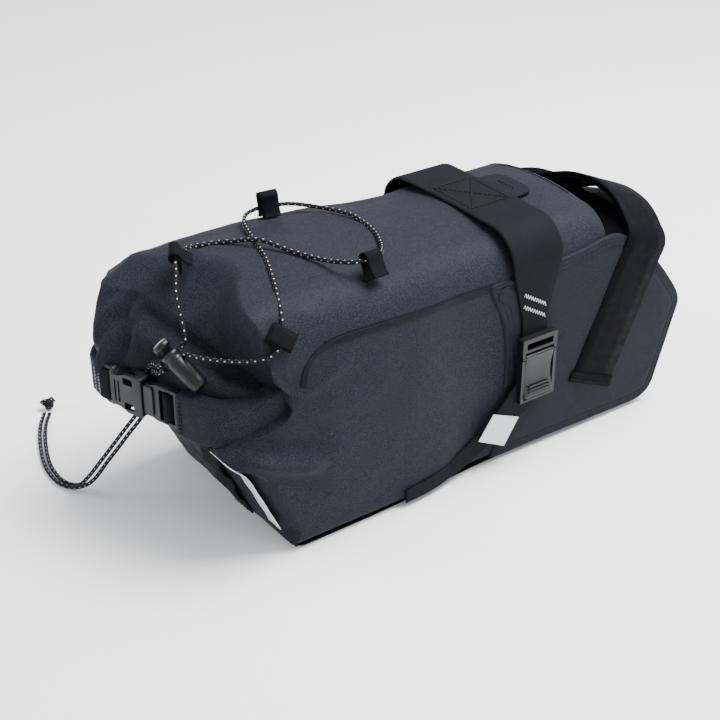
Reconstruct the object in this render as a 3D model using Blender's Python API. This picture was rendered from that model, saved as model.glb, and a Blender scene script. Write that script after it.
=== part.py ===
"""Roll-top saddle bag for a bicycle, as an assembly of separate pieces.

The bag points forward along +X, +Y is its left side, and it stands on its flat base at z = 0.
Places are written in millimetres with x measured forward from the rear edge of the base (the
datum), and `at` turns them into metres about the middle of the whole bag.
"""

from math import cos, exp, pi, radians, sin

import bpy
from mathutils import Matrix, Vector

MM = 0.001
DATUM_X = 119.9  # from the middle of the whole bag back to the rear edge of its base
GAP = 0.3  # between pieces that touch

# Body
BASE_LENGTH = 243.0
BODY_HEIGHT = 155.0
BODY_FRONT_WIDTH = 126.0
BODY_REAR_WIDTH = 142.0
SHELL_WALL = 2.2
SKIN = 1.6
BASE_SKIN = 1.6
REAR_LEAN = 37.0  # how far the rear panel leans back over its height
REAR_PANEL_HEIGHT = 76.0
LIGHT_LOOP_Y = (-22, -44)  # left and right edges on the rear panel
REFLECTOR_Y = (-50, -64)
TOP_CORNER = 27.0
BOTTOM_CORNER = 8.0

# Wings
WING_OUTSIDE = 65.0  # from the centre plane
WING_BOARD = 3.1

# Straps
WEB_WIDTH = 20.0
WEB = 1.4
STRAP_X = 180.0  # centre of the compression strap
STRAP_WIDTH = 40.0
RAIL_STRAP_WIDTH = 37.0
RAIL_LEAN = radians(24.0)
RAIL_FOOT = (234.0, 36.0)

# Cord
CORD = 2.5

# name: colour, roughness, metallic
FINISHES = {
    "body_fabric": ((0.026, 0.028, 0.036), 0.62, 0.0),
    "dark_fabric": ((0.020, 0.021, 0.027), 0.70, 0.0),
    "webbing": ((0.014, 0.014, 0.018), 0.75, 0.0),
    "plastic": ((0.016, 0.016, 0.019), 0.42, 0.0),
    "board": ((0.040, 0.040, 0.045), 0.60, 0.0),
    "foam": ((0.060, 0.060, 0.066), 0.85, 0.0),
    "reflective": ((0.480, 0.490, 0.510), 0.38, 0.1),
    "cord": ((0.025, 0.025, 0.030), 0.80, 0.0),
    "steel": ((0.550, 0.550, 0.560), 0.32, 1.0),
}


def at(x, y, z):
    return Vector((x - DATUM_X, y, z)) * MM


def finish(name):
    material = bpy.data.materials.get(name)
    if material is None:
        colour, roughness, metallic = FINISHES[name]
        material = bpy.data.materials.new(name)
        material.use_nodes = True
        shader = material.node_tree.nodes["Principled BSDF"]
        shader.inputs["Base Color"].default_value = (*colour, 1.0)
        shader.inputs["Roughness"].default_value = roughness
        shader.inputs["Metallic"].default_value = metallic
    return material


def mesh_object(name, points, faces, material, origin=Vector((0, 0, 0))):
    """A piece from world points in metres, with its origin where asked."""
    mesh = bpy.data.meshes.new(name)
    mesh.from_pydata([p - origin for p in points], [], faces)
    mesh.materials.append(finish(material))
    piece = bpy.data.objects.new(name, mesh)
    piece.location = origin
    bpy.context.scene.collection.objects.link(piece)
    return piece


def loft(name, rings, material, close_first=True, close_last=True, origin=Vector((0, 0, 0))):
    """Skin over rings of equal length that run counter-clockwise seen from the last ring's side."""
    size = len(rings[0])
    points = [p for ring in rings for p in ring]
    faces = []
    for k in range(len(rings) - 1):
        for i in range(size):
            j = (i + 1) % size
            faces.append((k * size + i, k * size + j, (k + 1) * size + j, (k + 1) * size + i))
    if close_first:
        faces.append(tuple(reversed(range(size))))
    if close_last:
        faces.append(tuple(range((len(rings) - 1) * size, len(rings) * size)))
    return mesh_object(name, points, faces, material, origin)


def slab(name, outline, low, high, material, axis="y"):
    """A flat plate: an outline in x and z (or x and y), between two places on the third axis."""
    def ring(level):
        if axis == "y":
            return [at(a, level, b) for a, b in outline]
        return [at(a, b, level) for a, b in outline]
    area = sum(a[0] * b[1] - b[0] * a[1] for a, b in zip(outline, outline[1:] + outline[:1]))
    upward = (area > 0) == (axis == "z")
    levels = (low, high) if upward else (high, low)
    return loft(name, [ring(level) for level in levels], material)


def ribbon(name, path, widths, thick, across, material, lift=0.0):
    """A flat band along a path (metres), its inner face `lift` mm outside the path.

    `across` is the direction of the band's width, or a list of them. The outer side is the
    one that `across` turned onto the path's run points to.
    """
    rings = []
    last = len(path) - 1
    for i, p in enumerate(path):
        side = (across[i] if isinstance(across, list) else across).normalized()
        run = path[min(i + 1, last)] - path[max(i - 1, 0)]
        out = side.cross(run).normalized()
        half = side * (widths[i] if isinstance(widths, list) else widths) * MM / 2
        inner = p + out * lift * MM
        outer = inner + out * thick * MM
        rings.append([inner - half, outer - half, outer + half, inner + half])
    return loft(name, rings, material)


def smooth_path(points, spacing):
    """Points every `spacing` metres along a smooth curve through the given ones."""
    ends = [2 * points[0] - points[1], *points, 2 * points[-1] - points[-2]]
    fine = []
    for a, b, c, d in zip(ends, ends[1:], ends[2:], ends[3:]):
        for k in range(12):
            t = k / 12
            fine.append(0.5 * (2 * b + (c - a) * t + (2 * a - 5 * b + 4 * c - d) * t ** 2
                               + (3 * b - a - 3 * c + d) * t ** 3))
    fine.append(points[-1].copy())
    lengths = [0.0]
    for a, b in zip(fine, fine[1:]):
        lengths.append(lengths[-1] + (b - a).length)
    count = max(2, round(lengths[-1] / spacing))
    result = []
    k = 0
    for i in range(count + 1):
        goal = lengths[-1] * i / count
        while k < len(fine) - 2 and lengths[k + 1] < goal:
            k += 1
        share = (goal - lengths[k]) / max(lengths[k + 1] - lengths[k], 1e-9)
        result.append(fine[k].lerp(fine[k + 1], min(share, 1.0)))
    return result


def tube(name, points, diameter, material, spacing=6.0):
    curve = bpy.data.curves.new(name, "CURVE")
    curve.dimensions = "3D"
    curve.bevel_depth = diameter * MM / 2
    curve.bevel_resolution = 2
    curve.use_fill_caps = True
    path = smooth_path(points, spacing * MM)
    spline = curve.splines.new("POLY")
    spline.points.add(len(path) - 1)
    for point, place in zip(spline.points, path):
        point.co = (*place, 1.0)
    curve.materials.append(finish(material))
    piece = bpy.data.objects.new(name, curve)
    bpy.context.scene.collection.objects.link(piece)
    return piece


def cylinder(name, start, end, radius, material, sides=20, origin=None, profile=None):
    """A turned piece from start to end (metres); profile is (share of length, radius) steps."""
    along = (end - start).normalized()
    first = along.orthogonal().normalized()
    second = along.cross(first)
    steps = profile or [(0.0, radius), (1.0, radius)]
    rings = []
    for share, r in steps:
        middle = start.lerp(end, share)
        turns = [2 * pi * i / sides for i in range(sides)]
        rings.append([middle + (first * cos(t) + second * sin(t)) * r * MM for t in turns])
    return loft(name, rings, material, origin=origin or Vector((0, 0, 0)))


def block(name, corner, size, material, frame=Matrix.Identity(4), origin=Vector((0, 0, 0))):
    """A box from its low corner and size in mm, in the axes of `frame` (metres)."""
    low = Vector(corner) * MM
    high = low + Vector(size) * MM
    def ring(z):
        plan = ((low.x, low.y), (high.x, low.y), (high.x, high.y), (low.x, high.y))
        return [frame @ Vector((x, y, z)) for x, y in plan]
    return loft(name, [ring(low.z), ring(high.z)], material, origin=origin)


def combine(piece, other, operation):
    """Boolean with a helper piece, which stays hidden."""
    other.hide_render = True
    other.display_type = "WIRE"
    modifier = piece.modifiers.new(operation.lower(), "BOOLEAN")
    modifier.operation = operation
    modifier.object = other
    modifier.solver = "EXACT"


def step(value):
    """0 below 0, 1 above 1, smooth between."""
    t = min(max(value, 0.0), 1.0)
    return t * t * (3 - 2 * t)


# ---------------------------------------------------------------- body

def body_half_width(x):
    """Half the width of the body: flat between the wings, fuller behind them."""
    front = BODY_FRONT_WIDTH / 2
    rear = BODY_REAR_WIDTH / 2 - 1.0
    return front + (rear - front) * step((140 - x) / 60)


def body_top(x):
    """Height of the middle of the top: a low hump over the rear third."""
    return BODY_HEIGHT - 3 + 9 * exp(-((x - 10) / 70) ** 2) + 3 * step((150 - x) / 70)


def flap_edge_x(y):
    """The top flap's rear edge runs from low on the right side to high and far back on the left."""
    return max(-32.0 - 0.42 * y, -53.0)


def flap_edge_z(y):
    return min(132.0 + 0.42 * y, 143.0)


def mouth_x(y):
    """The gathered mouth, tucked forward towards the right side."""
    return -REAR_LEAN + 30 * step((-y - 8) / 58) + 8 * step((y - 52) / 18)


def rear_x(y, z):
    """How far back the rear opening lies: the rear panel's lean, the mouth, then the flap's edge."""
    panel = -REAR_LEAN * min(z, REAR_PANEL_HEIGHT) / REAR_PANEL_HEIGHT
    if z <= REAR_PANEL_HEIGHT:
        return panel
    tucked = panel + (mouth_x(y) - panel) * step((z - REAR_PANEL_HEIGHT) / 11)
    high = flap_edge_z(y)
    return tucked + (flap_edge_x(y) - tucked) * step((z - high + 22) / 20)


def body_ring(x, blend, droop, inset=0.0):
    """A section of the body; blend is 1 at the rear opening and 0 where the section is upright.

    droop draws the top down to the flap's edge.
    """
    half = body_half_width(x) - inset
    high = body_top(x) - inset - 4 * blend
    low = BASE_SKIN + GAP + inset * 0.3
    top_r = TOP_CORNER + 6 * blend
    low_r = BOTTOM_CORNER
    profile = []
    for i in range(5):
        turn = radians(-90 + 90 * i / 4)
        profile.append((half - low_r + low_r * cos(turn), low + low_r + low_r * sin(turn)))
    for share in (0.30, 0.52, 0.62, 0.74, 0.88):
        profile.append((half, low + low_r + (high - top_r - low - low_r) * share))
    for i in range(7):
        turn = radians(90 * i / 6)
        profile.append((half - top_r + top_r * cos(turn), high - top_r - 2 + top_r * sin(turn)))
    profile.append(((half - top_r) * 0.5, high - 1))
    middle = [(0.0, high)]
    left = [(-y, z) for y, z in reversed(profile)]
    ring = []
    for y, z in profile + middle + left:
        edge = flap_edge_z(y)
        if z > edge:
            z = z - (z - edge) * 0.85 * droop
        ring.append(at(x + rear_x(y, z) * blend, y, z))
    return ring


def make_body():
    stations = ((0, 1.0, 1.0), (3, 0.96, 0.6), (8, 0.88, 0.25), (18, 0.72, 0.06), (34, 0.46, 0.0),
                (56, 0.18, 0.0), (80, 0.0, 0.0), (100, 0.0, 0.0), (118, 0.0, 0.0), (140, 0.0, 0.0),
                (190, 0.0, 0.0), (BASE_LENGTH - 5, 0.0, 0.0))
    rings = [body_ring(*station) for station in stations]
    rings.append(body_ring(BASE_LENGTH, 0.0, 0.0, inset=3.0))
    shell = loft("bag_shell", rings, "body_fabric", close_first=False)
    wall = shell.modifiers.new("wall", "SOLIDIFY")
    wall.thickness = SHELL_WALL * MM
    wall.offset = -1.0
    return shell


def make_base():
    outline = [(2, -67), (80, -66), (140, -60), (244, -60), (244, 60), (140, 60), (80, 66), (2, 67)]
    slab("base_panel", outline, 0.0, BASE_SKIN, "dark_fabric", axis="z")
    inner = [(22, -46), (230, -46), (230, 46), (22, 46)]
    floor = BASE_SKIN + 2 * GAP + SHELL_WALL + 0.2
    slab("base_stiffener", inner, floor, floor + 2.0, "board", axis="z")


def on_rear(y, z, lift):
    """A point on the leaning rear panel, `lift` mm outside the body's edge."""
    slope = REAR_LEAN / REAR_PANEL_HEIGHT
    long = (1 + slope * slope) ** 0.5
    return at(-slope * z - lift / long, y, z - lift * slope / long)


def make_rear():
    rings = []
    for z in (1.2, 20, 40, 60, REAR_PANEL_HEIGHT):
        half = 66.0
        rings.append([on_rear(-half, z, 0.9), on_rear(half, z, 0.9),
                      on_rear(half, z, 0.9 + SKIN), on_rear(-half, z, 0.9 + SKIN)])
    loft("rear_panel", rings, "body_fabric")
    outside = 0.9 + SKIN + GAP
    rings = []
    for z, hump in ((12, 0), (22, 0), (25, 5), (33, 5), (36, 0), (42, 0), (45, 5), (53, 5), (56, 0), (64, 0)):
        low, high = outside + hump, outside + hump + 1.2
        left, right = LIGHT_LOOP_Y
        rings.append([on_rear(left, z, high), on_rear(right, z, high),
                      on_rear(right, z, low), on_rear(left, z, low)])
    loft("light_loop_strip", rings, "webbing")
    rings = []
    for z in (10, 68):
        left, right = REFLECTOR_Y
        rings.append([on_rear(left, z, outside + 0.8), on_rear(right, z, outside + 0.8),
                      on_rear(right, z, outside), on_rear(left, z, outside)])
    loft("rear_reflector", rings, "reflective")


# ---------------------------------------------------------------- rolled mouth and its buckle

# The buckle's axis runs from the near end of the roll to its far end.
NEAR_TIP = Vector((-47.0, -26.5, 92.0))
BUCKLE_RUN = Vector((-0.326, 0.9454, 0.0))
TIP_TO_TIP = 61.4


def buckle_frame():
    """Axes of the closure buckle: u along its run, v outward, w up; origin at the near tip."""
    run = BUCKLE_RUN.normalized()
    up = Vector((0, 0, 1))
    out = up.cross(run)
    frame = Matrix((run, out, up)).transposed().to_4x4()
    frame.translation = at(*NEAR_TIP)
    return frame


def make_roll():
    outline = [(-9, -69), (-24, -66.5), (-38, -60.5), (-43.2, -54.5), (-52.1, -28.3), (-41.9, -24.7),
               (-43.5, -18), (-46.5, -6), (-47, 20), (-48, 38), (-52, 43.5), (-58.5, 41), (-62, 31),
               (-72.2, 34.3), (-69, 46), (-61, 55), (-48, 60), (-39.5, 61), (-40.6, 48), (-40.6, -4),
               (-37.8, -16), (-31.5, -30), (-22, -43), (-13.5, -57), (-9, -63)]
    roll = slab("rolled_mouth", outline, 91.5, 104.5, "body_fabric", axis="z")
    near = [(-39.5, -60.0), (-43.2, -54.5), (-52.1, -28.3), (-41.9, -24.7), (-39.5, -30.0)]
    combine(roll, slab("near_arm_fill", near, 77.5, 105.5, "body_fabric", axis="z"), "UNION")
    far = [(-53, 44), (-58.5, 41), (-62, 31), (-72.2, 34.3), (-69, 46), (-61, 55), (-53, 56)]
    combine(roll, slab("far_arm_fill", far, 79.0, 122.0, "body_fabric", axis="z"), "UNION")
    frame = buckle_frame()
    sleeve = block("sleeve_hollow", (-29, -3.6, -12.4), (31, 7.2, 24.8), "plastic", frame)
    combine(roll, sleeve, "DIFFERENCE")
    stiffener = [(-44.6, -4), (-44.6, 36), (-43.0, 36), (-43.0, -4)]
    pocket = [(-45.0, -4.5), (-45.0, 36.5), (-42.6, 36.5), (-42.6, -4.5)]
    combine(roll, slab("stiffener_pocket", pocket, 91.0, 106.0, "board", axis="z"), "DIFFERENCE")
    slab("mouth_stiffener", stiffener, 91.4, 104.2, "board", axis="z")


def make_throat():
    """The gathered fabric between the edge of the top flap and the roll."""
    rings = []
    for i in range(17):
        y = -50 + 104 * i / 16
        top = flap_edge_z(y) - 2 - 16 * step((abs(y) - 40) / 24)
        low = min(106.0, top - 3)
        levels = [low + (top - low) * k / 5 for k in range(6)]
        inner = [at(rear_x(y, z) - 1.2, y, z) for z in levels]
        outer = [at(rear_x(y, z) - 3.4, y, z) for z in reversed(levels)]
        rings.append(list(reversed(inner + outer)))
    loft("mouth_throat", rings, "body_fabric")


def make_closure_buckle():
    frame = buckle_frame()
    axis = at(*NEAR_TIP)
    far = TIP_TO_TIP
    male = block("closure_buckle_male", (1.5, -2.6, -12), (25, 5.2, 24), "plastic", frame, axis)
    for u in (4.0, 11.0):
        slot = block(f"ladder_slot_{u:.0f}", (u, -9, -10.3), (4.2, 18, 20.6), "plastic", frame)
        combine(male, slot, "DIFFERENCE")
    for name, low, size in (("upper", 6.0, 3.5), ("lower", -9.5, 3.5), ("guide", -1.5, 3.0)):
        prong = block(f"prong_{name}", (25.0, -1.6, low), (13.5, 3.2, size), "plastic", frame)
        combine(male, prong, "UNION")
    female = block("closure_buckle_female", (27.0, -4.6, -13), (far - 31.0, 9.2, 26), "plastic", frame)
    mouth = block("buckle_mouth", (26.0, -2.4, -10.8), (14.5, 4.8, 21.6), "plastic", frame)
    combine(female, mouth, "DIFFERENCE")
    windows = block("side_windows", (32.5, -1.9, -20), (6.5, 3.8, 40), "plastic", frame)
    combine(female, windows, "DIFFERENCE")
    web_slot = block("web_slot", (far - 11.0, -9, -10.6), (4.4, 18, 21.2), "plastic", frame)
    combine(female, web_slot, "DIFFERENCE")
    block("closure_web_male", (-12.0, -0.7, -10), (13.2, WEB, 20), "webbing", frame, axis)
    block("closure_web_female", (far - 3.7, -0.7, -10), (3.4, WEB, 20), "webbing", frame)


# ---------------------------------------------------------------- wings and front

WING_OUTLINE = [(142, 129), (160, 93), (158, 30), (150, 4), (282, 2), (293, 8), (309, 60), (312, 69),
                (309, 78), (288, 106), (257, 132), (244, 137), (210, 131)]


def inset_outline(low_x, margin):
    """The forward part of the wing's outline, drawn in by a margin."""
    front = [(x, z) for x, z in WING_OUTLINE if x > 240]
    middle = Vector((278.0, 70.0))
    drawn = []
    for x, z in [(low_x, 4)] + front[:-1] + [(low_x, 134)]:
        inward = (middle - Vector((x, z))).normalized() * margin
        drawn.append((max(x + inward.x, low_x), z + inward.y))
    return drawn


def make_wings():
    for side, sign in (("left", 1), ("right", -1)):
        outside = WING_OUTSIDE * sign
        slab(f"wing_outer_{side}", WING_OUTLINE, *sorted((outside - SKIN * sign, outside)), "dark_fabric")
        board = outside - (SKIN + GAP) * sign
        low, high = sorted((board, board - WING_BOARD * sign))
        slab(f"wing_stiffener_{side}", inset_outline(245.5, 5.0), low, high, "board")
        inner = board - (WING_BOARD + GAP) * sign
        slab(f"wing_inner_{side}", inset_outline(245.5, 2.0), *sorted((inner, inner - SKIN * sign)), "dark_fabric")


def make_seatpost_pad():
    outline = [(BASE_LENGTH + GAP, 18), (BASE_LENGTH + GAP + 5, 22), (BASE_LENGTH + GAP + 5, 118),
               (BASE_LENGTH + GAP, 122)]
    slab("seatpost_pad", outline, -19.0, 19.0, "foam")
    path = [Vector((245.5, -27, 88)), Vector((262, -25, 88))]
    for i in range(9):
        turn = radians(-90 + 180 * i / 8)
        path.append(Vector((266 + 20 * cos(turn), 24 * sin(turn), 88)))
    path += [Vector((262, 25, 88)), Vector((245.5, 27, 88))]
    ribbon("seatpost_strap", [at(*p) for p in path], 38.0, WEB, Vector((0, 0, -1)), "webbing")


# ---------------------------------------------------------------- straps

def make_compression_strap():
    """Over the top in the plane x = STRAP_X, narrowing to the webbing's width on the sides."""
    half = WING_OUTSIDE + GAP
    top = BODY_HEIGHT + 1.2
    radius = 22.0
    right = [(-half, z) for z in (62, 80, 98, 106, 114, 122)]
    for i in range(8):
        turn = radians(180 - 90 * i / 7)
        right.append((-half + radius + radius * cos(turn), top - radius - 1.5 + radius * sin(turn)))
    right.append((-12.0, top))
    section = right + [(-y, z) for y, z in reversed(right)]
    widths = []
    for y, z in section:
        widths.append(WEB_WIDTH + (STRAP_WIDTH - WEB_WIDTH) * step((z - 90) / 52))
    path = [at(STRAP_X, y, z) for y, z in section]
    ribbon("compression_strap", path, widths, WEB, Vector((1, 0, 0)), "webbing", lift=0.0)
    patch = [(202, -19), (228, -17), (228, 17), (202, 19)]
    slab("strap_anchor_patch", patch, 154.4, 155.6, "webbing", axis="z")


def side_out(x):
    """The outside of the bag's side where the lower straps run."""
    return max(body_half_width(x) + 0.2, WING_OUTSIDE)


def side_band(name, places, sign, lift, thick, width, material):
    """A band lying on the bag's side through places given as (x, z)."""
    path = [at(x, sign * (side_out(x) + GAP + lift), z) for x, z in places]
    across = []
    for i in range(len(path)):
        run = path[min(i + 1, len(path) - 1)] - path[max(i - 1, 0)]
        flat = Vector((run.x, 0, run.z)).normalized()
        across.append(Vector((-flat.z, 0, flat.x)) * sign)
    ribbon(name, path, width, thick, across, material)


def make_lower_straps():
    lower = [(184, 58), (180, 46), (170, 38), (156, 29.5), (142, 24), (128, 20), (114, 16.5), (98, 14), (80, 12)]
    for side, sign in (("left", 1), ("right", -1)):
        side_band(f"lower_strap_{side}", lower, sign, 0.0, WEB, WEB_WIDTH, "webbing")
        side_band(f"strap_tail_{side}", [(173, 33.5), (164, 27.5), (151, 20.5)], sign, 2.6, 1.2,
                  WEB_WIDTH, "webbing")
        side_band(f"strap_reflector_{side}", [(163, 27.0), (152, 21.0)], sign, 4.1, 0.6,
                  WEB_WIDTH, "reflective")


def make_cam_buckles():
    low_z, height, width = 43.0, 45.0, 28.0
    back = WING_OUTSIDE + GAP + WEB + GAP
    depth = 5.2
    pin_z, pin_y = 75.0, back + 4.2
    for side, sign in (("left", 1), ("right", -1)):
        def placed(name, x, y, z, sx, sy, sz, material="plastic", origin=Vector((0, 0, 0))):
            corner = at(x, y if sign > 0 else -(y + sy), z) / MM
            return block(name, corner, (sx, sy, sz), material, origin=origin)
        left = STRAP_X - width / 2
        frame = placed(f"cam_buckle_frame_{side}", left, back, low_z, width, depth, height)
        window = placed(f"cam_window_{side}", left + 2.4, back + 1.4, low_z + 1.5, width - 4.8, 9, 34.2)
        combine(frame, window, "DIFFERENCE")
        slot = placed(f"cam_slot_{side}", left + 3.4, back - 5, low_z + 37.5, width - 6.8, 15, 4.4)
        combine(frame, slot, "DIFFERENCE")
        ends = [at(x, sign * pin_y, pin_z) for x in (left - 2, left + width + 2)]
        combine(frame, cylinder(f"cam_bore_{side}", *ends, 1.6, "steel"), "DIFFERENCE")
        axis = at(STRAP_X, sign * pin_y, pin_z)
        lever = placed(f"cam_lever_{side}", left + 2.8, pin_y - 1.9, low_z + 3.0, width - 5.6, 4.3,
                       pin_z - low_z - 3.0 + 1.9, origin=axis)
        combine(lever, cylinder(f"lever_bore_{side}", *ends, 1.5, "steel"), "DIFFERENCE")
        ends = [at(x, sign * pin_y, pin_z) for x in (left + 0.3, left + width - 0.3)]
        cylinder(f"cam_pin_{side}", *ends, 1.2, "steel", sides=16)


def rail_point(y, t):
    """A point of the rail strap's middle line, t mm up its tilted plane from its foot."""
    x = RAIL_FOOT[0] + sin(RAIL_LEAN) * t
    z = RAIL_FOOT[1] + cos(RAIL_LEAN) * t
    return at(x, y, z)


# The rail strap's inner face in its tilted plane: places across the bag and up from its foot.
RAIL_SECTION = [
    (-65.4, 0.0), (-65.4, 24.0), (-65.4, 48.0), (-65.4, 70.0), (-65.4, 86.0), (-65.5, 96.0), (-62.3, 102.5),
    (-56.5, 107.0), (-47.0, 113.5), (-35.0, 118.5), (-18.0, 120.8), (0.0, 118.5), (17.0, 112.5), (29.0, 107.0),
    (40.0, 104.5), (51.0, 104.5), (59.0, 104.0), (64.0, 101.0), (65.5, 96.0), (65.4, 86.0), (65.4, 60.0),
    (65.4, 30.0), (65.4, 0.0),
]


def make_rail_strap():
    """Up the outside of both wings and over the gap for the seat post, in a plane that leans forward."""
    across = Vector((cos(RAIL_LEAN), 0, -sin(RAIL_LEAN)))
    lining = 2.6
    path = smooth_path([rail_point(y, t) for y, t in RAIL_SECTION], 6 * MM)
    ribbon("rail_strap_lining", path, RAIL_STRAP_WIDTH, lining, across, "dark_fabric")
    ribbon("rail_strap", path, RAIL_STRAP_WIDTH, 1.6, across, "webbing", lift=lining + GAP)


# ---------------------------------------------------------------- cord

def cord_loop(name, foot, stand, axis, height):
    """A folded webbing tab: two legs and a round end, the cord passing along `axis`."""
    stand = stand.normalized()
    axis = (axis - axis.dot(stand) * stand).normalized()
    across = axis.cross(stand)
    radius = 3.0
    path = [(radius, 0.0), (radius, height - radius)]
    for i in range(1, 8):
        turn = pi * i / 8
        path.append((radius * cos(turn), height - radius + radius * sin(turn)))
    path += [(-radius, height - radius), (-radius, 0.0)]
    places = [foot + (across * a + stand * b) * MM for a, b in path]
    ribbon(name, places, 12.0, 1.0, axis, "webbing")


# Each loop: foot on the body, the way it stands, the way the cord passes, height.
LOOPS = {
    "cord_loop_front_left": ((60.6, 48.0, 157.5), (0.0, 0.2, 1.0), (0.98, -0.2, 0.0), 14.0),
    "cord_loop_front_right": ((64.0, -57.9, 157.8), (0.0, 0.5, 0.86), (0.97, 0.25, 0.0), 14.0),
    "cord_loop_rear_left": ((-19.0, 12.0, 161.5), (-0.6, 0.2, 0.78), (0.6, 0.8, 0.0), 12.0),
    "cord_loop_rear_right": ((-2.3, -69.6, 140.3), (-0.7, 0.45, 0.6), (0.75, 0.42, 0.56), 13.0),
}


def make_cord_loops():
    for name, (foot, stand, axis, height) in LOOPS.items():
        cord_loop(name, at(*foot), Vector(stand), Vector(axis), height)


# The laced cord, from the lock round the four loops and back to it.
BUNGEE_ROUTE = [
    (-42.5, -21.5, 129.5), (-40.0, -22.5, 134.5), (-38.5, -17.0, 143.0), (-36.0, -8.0, 154.0),
    (-30.0, 2.0, 163.0), (-24.0, 12.0, 166.5), (-12.0, 22.0, 164.5), (2.0, 24.0, 162.5),
    (15.0, 17.0, 163.4), (26.0, 3.0, 166.4), (36.0, -13.0, 163.2), (45.0, -32.0, 162.6),
    (50.0, -45.0, 164.8), (56.0, -52.2, 166.2), (63.5, -53.3, 166.8), (70.0, -51.2, 166.0),
    (78.0, -44.0, 163.0), (88.0, -30.0, 160.0), (96.5, -10.0, 158.9), (98.5, 14.0, 158.9),
    (91.0, 34.0, 158.4), (78.0, 45.0, 160.4), (68.0, 48.2, 161.6), (60.6, 49.2, 162.0),
    (53.0, 50.4, 161.8), (44.0, 48.0, 161.2), (36.5, 38.0, 161.6), (31.0, 24.0, 162.4),
    (25.5, 6.0, 162.8), (20.0, -12.0, 162.9), (12.0, -32.0, 160.8), (4.0, -50.0, 156.8),
    (-2.0, -63.0, 149.6), (-6.5, -69.0, 143.2), (-13.0, -70.5, 137.5), (-22.0, -64.0, 133.5),
    (-32.0, -50.0, 130.5), (-39.5, -36.0, 128.5), (-43.5, -25.5, 127.5),
]

# The two tails lie side by side, from the lock down behind the buckle and along the ground.
TAIL_ROUTE = [
    (-52.5, -18.5, 119.0), (-52.8, -12.0, 114.0), (-51.0, -2.0, 110.0), (-49.7, 6.0, 102.0),
    (-49.6, 10.0, 88.0), (-52.0, 14.0, 74.0), (-59.0, 24.0, 56.0), (-67.0, 38.0, 33.0),
    (-73.5, 51.0, 13.0), (-78.4, 62.5, 3.4), (-83.0, 76.0, 1.6), (-81.6, 96.0, 1.6),
    (-73.7, 120.0, 1.6), (-63.8, 141.0, 1.6), (-55.0, 154.0, 1.6),
]
KNOT = (-50.5, 160.0, 5.0)
LOCK_CENTRE = (-44.0, -27.5, 118.0)
LOCK_RUN = (0.36, -0.70, -0.62)


def make_cord_lock():
    run = Vector(LOCK_RUN).normalized()
    through = run.cross(Vector((-0.503, -0.705, 0.5))).normalized()
    out = run.cross(through)
    frame = Matrix((run, through, out)).transposed().to_4x4()
    frame.translation = at(*LOCK_CENTRE)
    middle = frame.translation

    def along(distance):
        return middle + run * distance * MM

    body = cylinder("cord_lock_body", along(-13), along(13), 0, "plastic", profile=[
        (0.0, 5.2), (0.02, 5.6), (0.10, 5.6), (0.13, 5.1), (0.20, 5.1), (0.23, 5.5), (0.93, 5.5), (1.0, 4.6)])
    combine(body, cylinder("lock_bore", along(-15), along(8), 3.7, "plastic"), "DIFFERENCE")
    combine(body, block("lock_slot", (-11.4, -9, -1.8), (6.8, 18, 3.6), "plastic", frame), "DIFFERENCE")
    plunger = cylinder("cord_lock_plunger", along(-20.5), along(-1), 0, "plastic", origin=middle, profile=[
        (0.0, 4.6), (0.03, 5.4), (0.15, 5.6), (0.19, 5.0), (0.191, 3.4), (1.0, 3.4)])
    slot = block("plunger_slot", (-12.0, -9, -1.7), (10.2, 18, 3.4), "plastic", frame)
    combine(plunger, slot, "DIFFERENCE")
    cylinder("cord_lock_spring", along(3.4), along(7.7), 2.6, "steel", sides=14)


def make_cords():
    tube("bungee_cord", [at(*p) for p in BUNGEE_ROUTE], CORD, "cord")
    for number, offset in ((1, -1.75), (2, 1.75)):
        strand = []
        for i, p in enumerate(TAIL_ROUTE):
            a = Vector(TAIL_ROUTE[max(i - 1, 0)])
            b = Vector(TAIL_ROUTE[min(i + 1, len(TAIL_ROUTE) - 1)])
            side = (b - a).cross(Vector((-0.503, -0.705, 0.5))).normalized() if i < 9 else None
            if side is None:
                side = (b - a).cross(Vector((0, 0, 1))).normalized()
            strand.append(at(*(Vector(p) + side * offset)))
        tube(f"cord_tail_{number}", strand, CORD, "cord")
    make_knot(at(*KNOT), 4.4)


def make_knot(centre, radius):
    """The overhand knot that joins the tails, as a ball."""
    rings = []
    for i in range(1, 8):
        turn = pi * i / 8
        r = radius * sin(turn)
        z = -radius * cos(turn)
        rings.append([centre + Vector((r * cos(2 * pi * k / 14), r * sin(2 * pi * k / 14), z)) * MM
                      for k in range(14)])
    loft("cord_knot", rings, "cord")


def clear_scene():
    for old in list(bpy.data.objects):
        bpy.data.objects.remove(old, do_unlink=True)


clear_scene()
make_body()
make_base()
make_rear()
make_roll()
make_throat()
make_closure_buckle()
make_wings()
make_seatpost_pad()
make_compression_strap()
make_lower_straps()
make_cam_buckles()
make_rail_strap()
make_cord_loops()
make_cord_lock()
make_cords()
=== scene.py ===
"""Visual model of the roll-top saddle bag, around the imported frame.

Places are in the part's own millimetres, with x measured forward from the rear edge of the base,
and `at` turns them into metres in the row frame. The near side in the view is the bag's right, -Y.
"""

from math import cos, exp, pi, radians, sin, sqrt

import bpy
from mathutils import Matrix, Vector, noise
from mathutils.bvhtree import BVHTree


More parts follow.
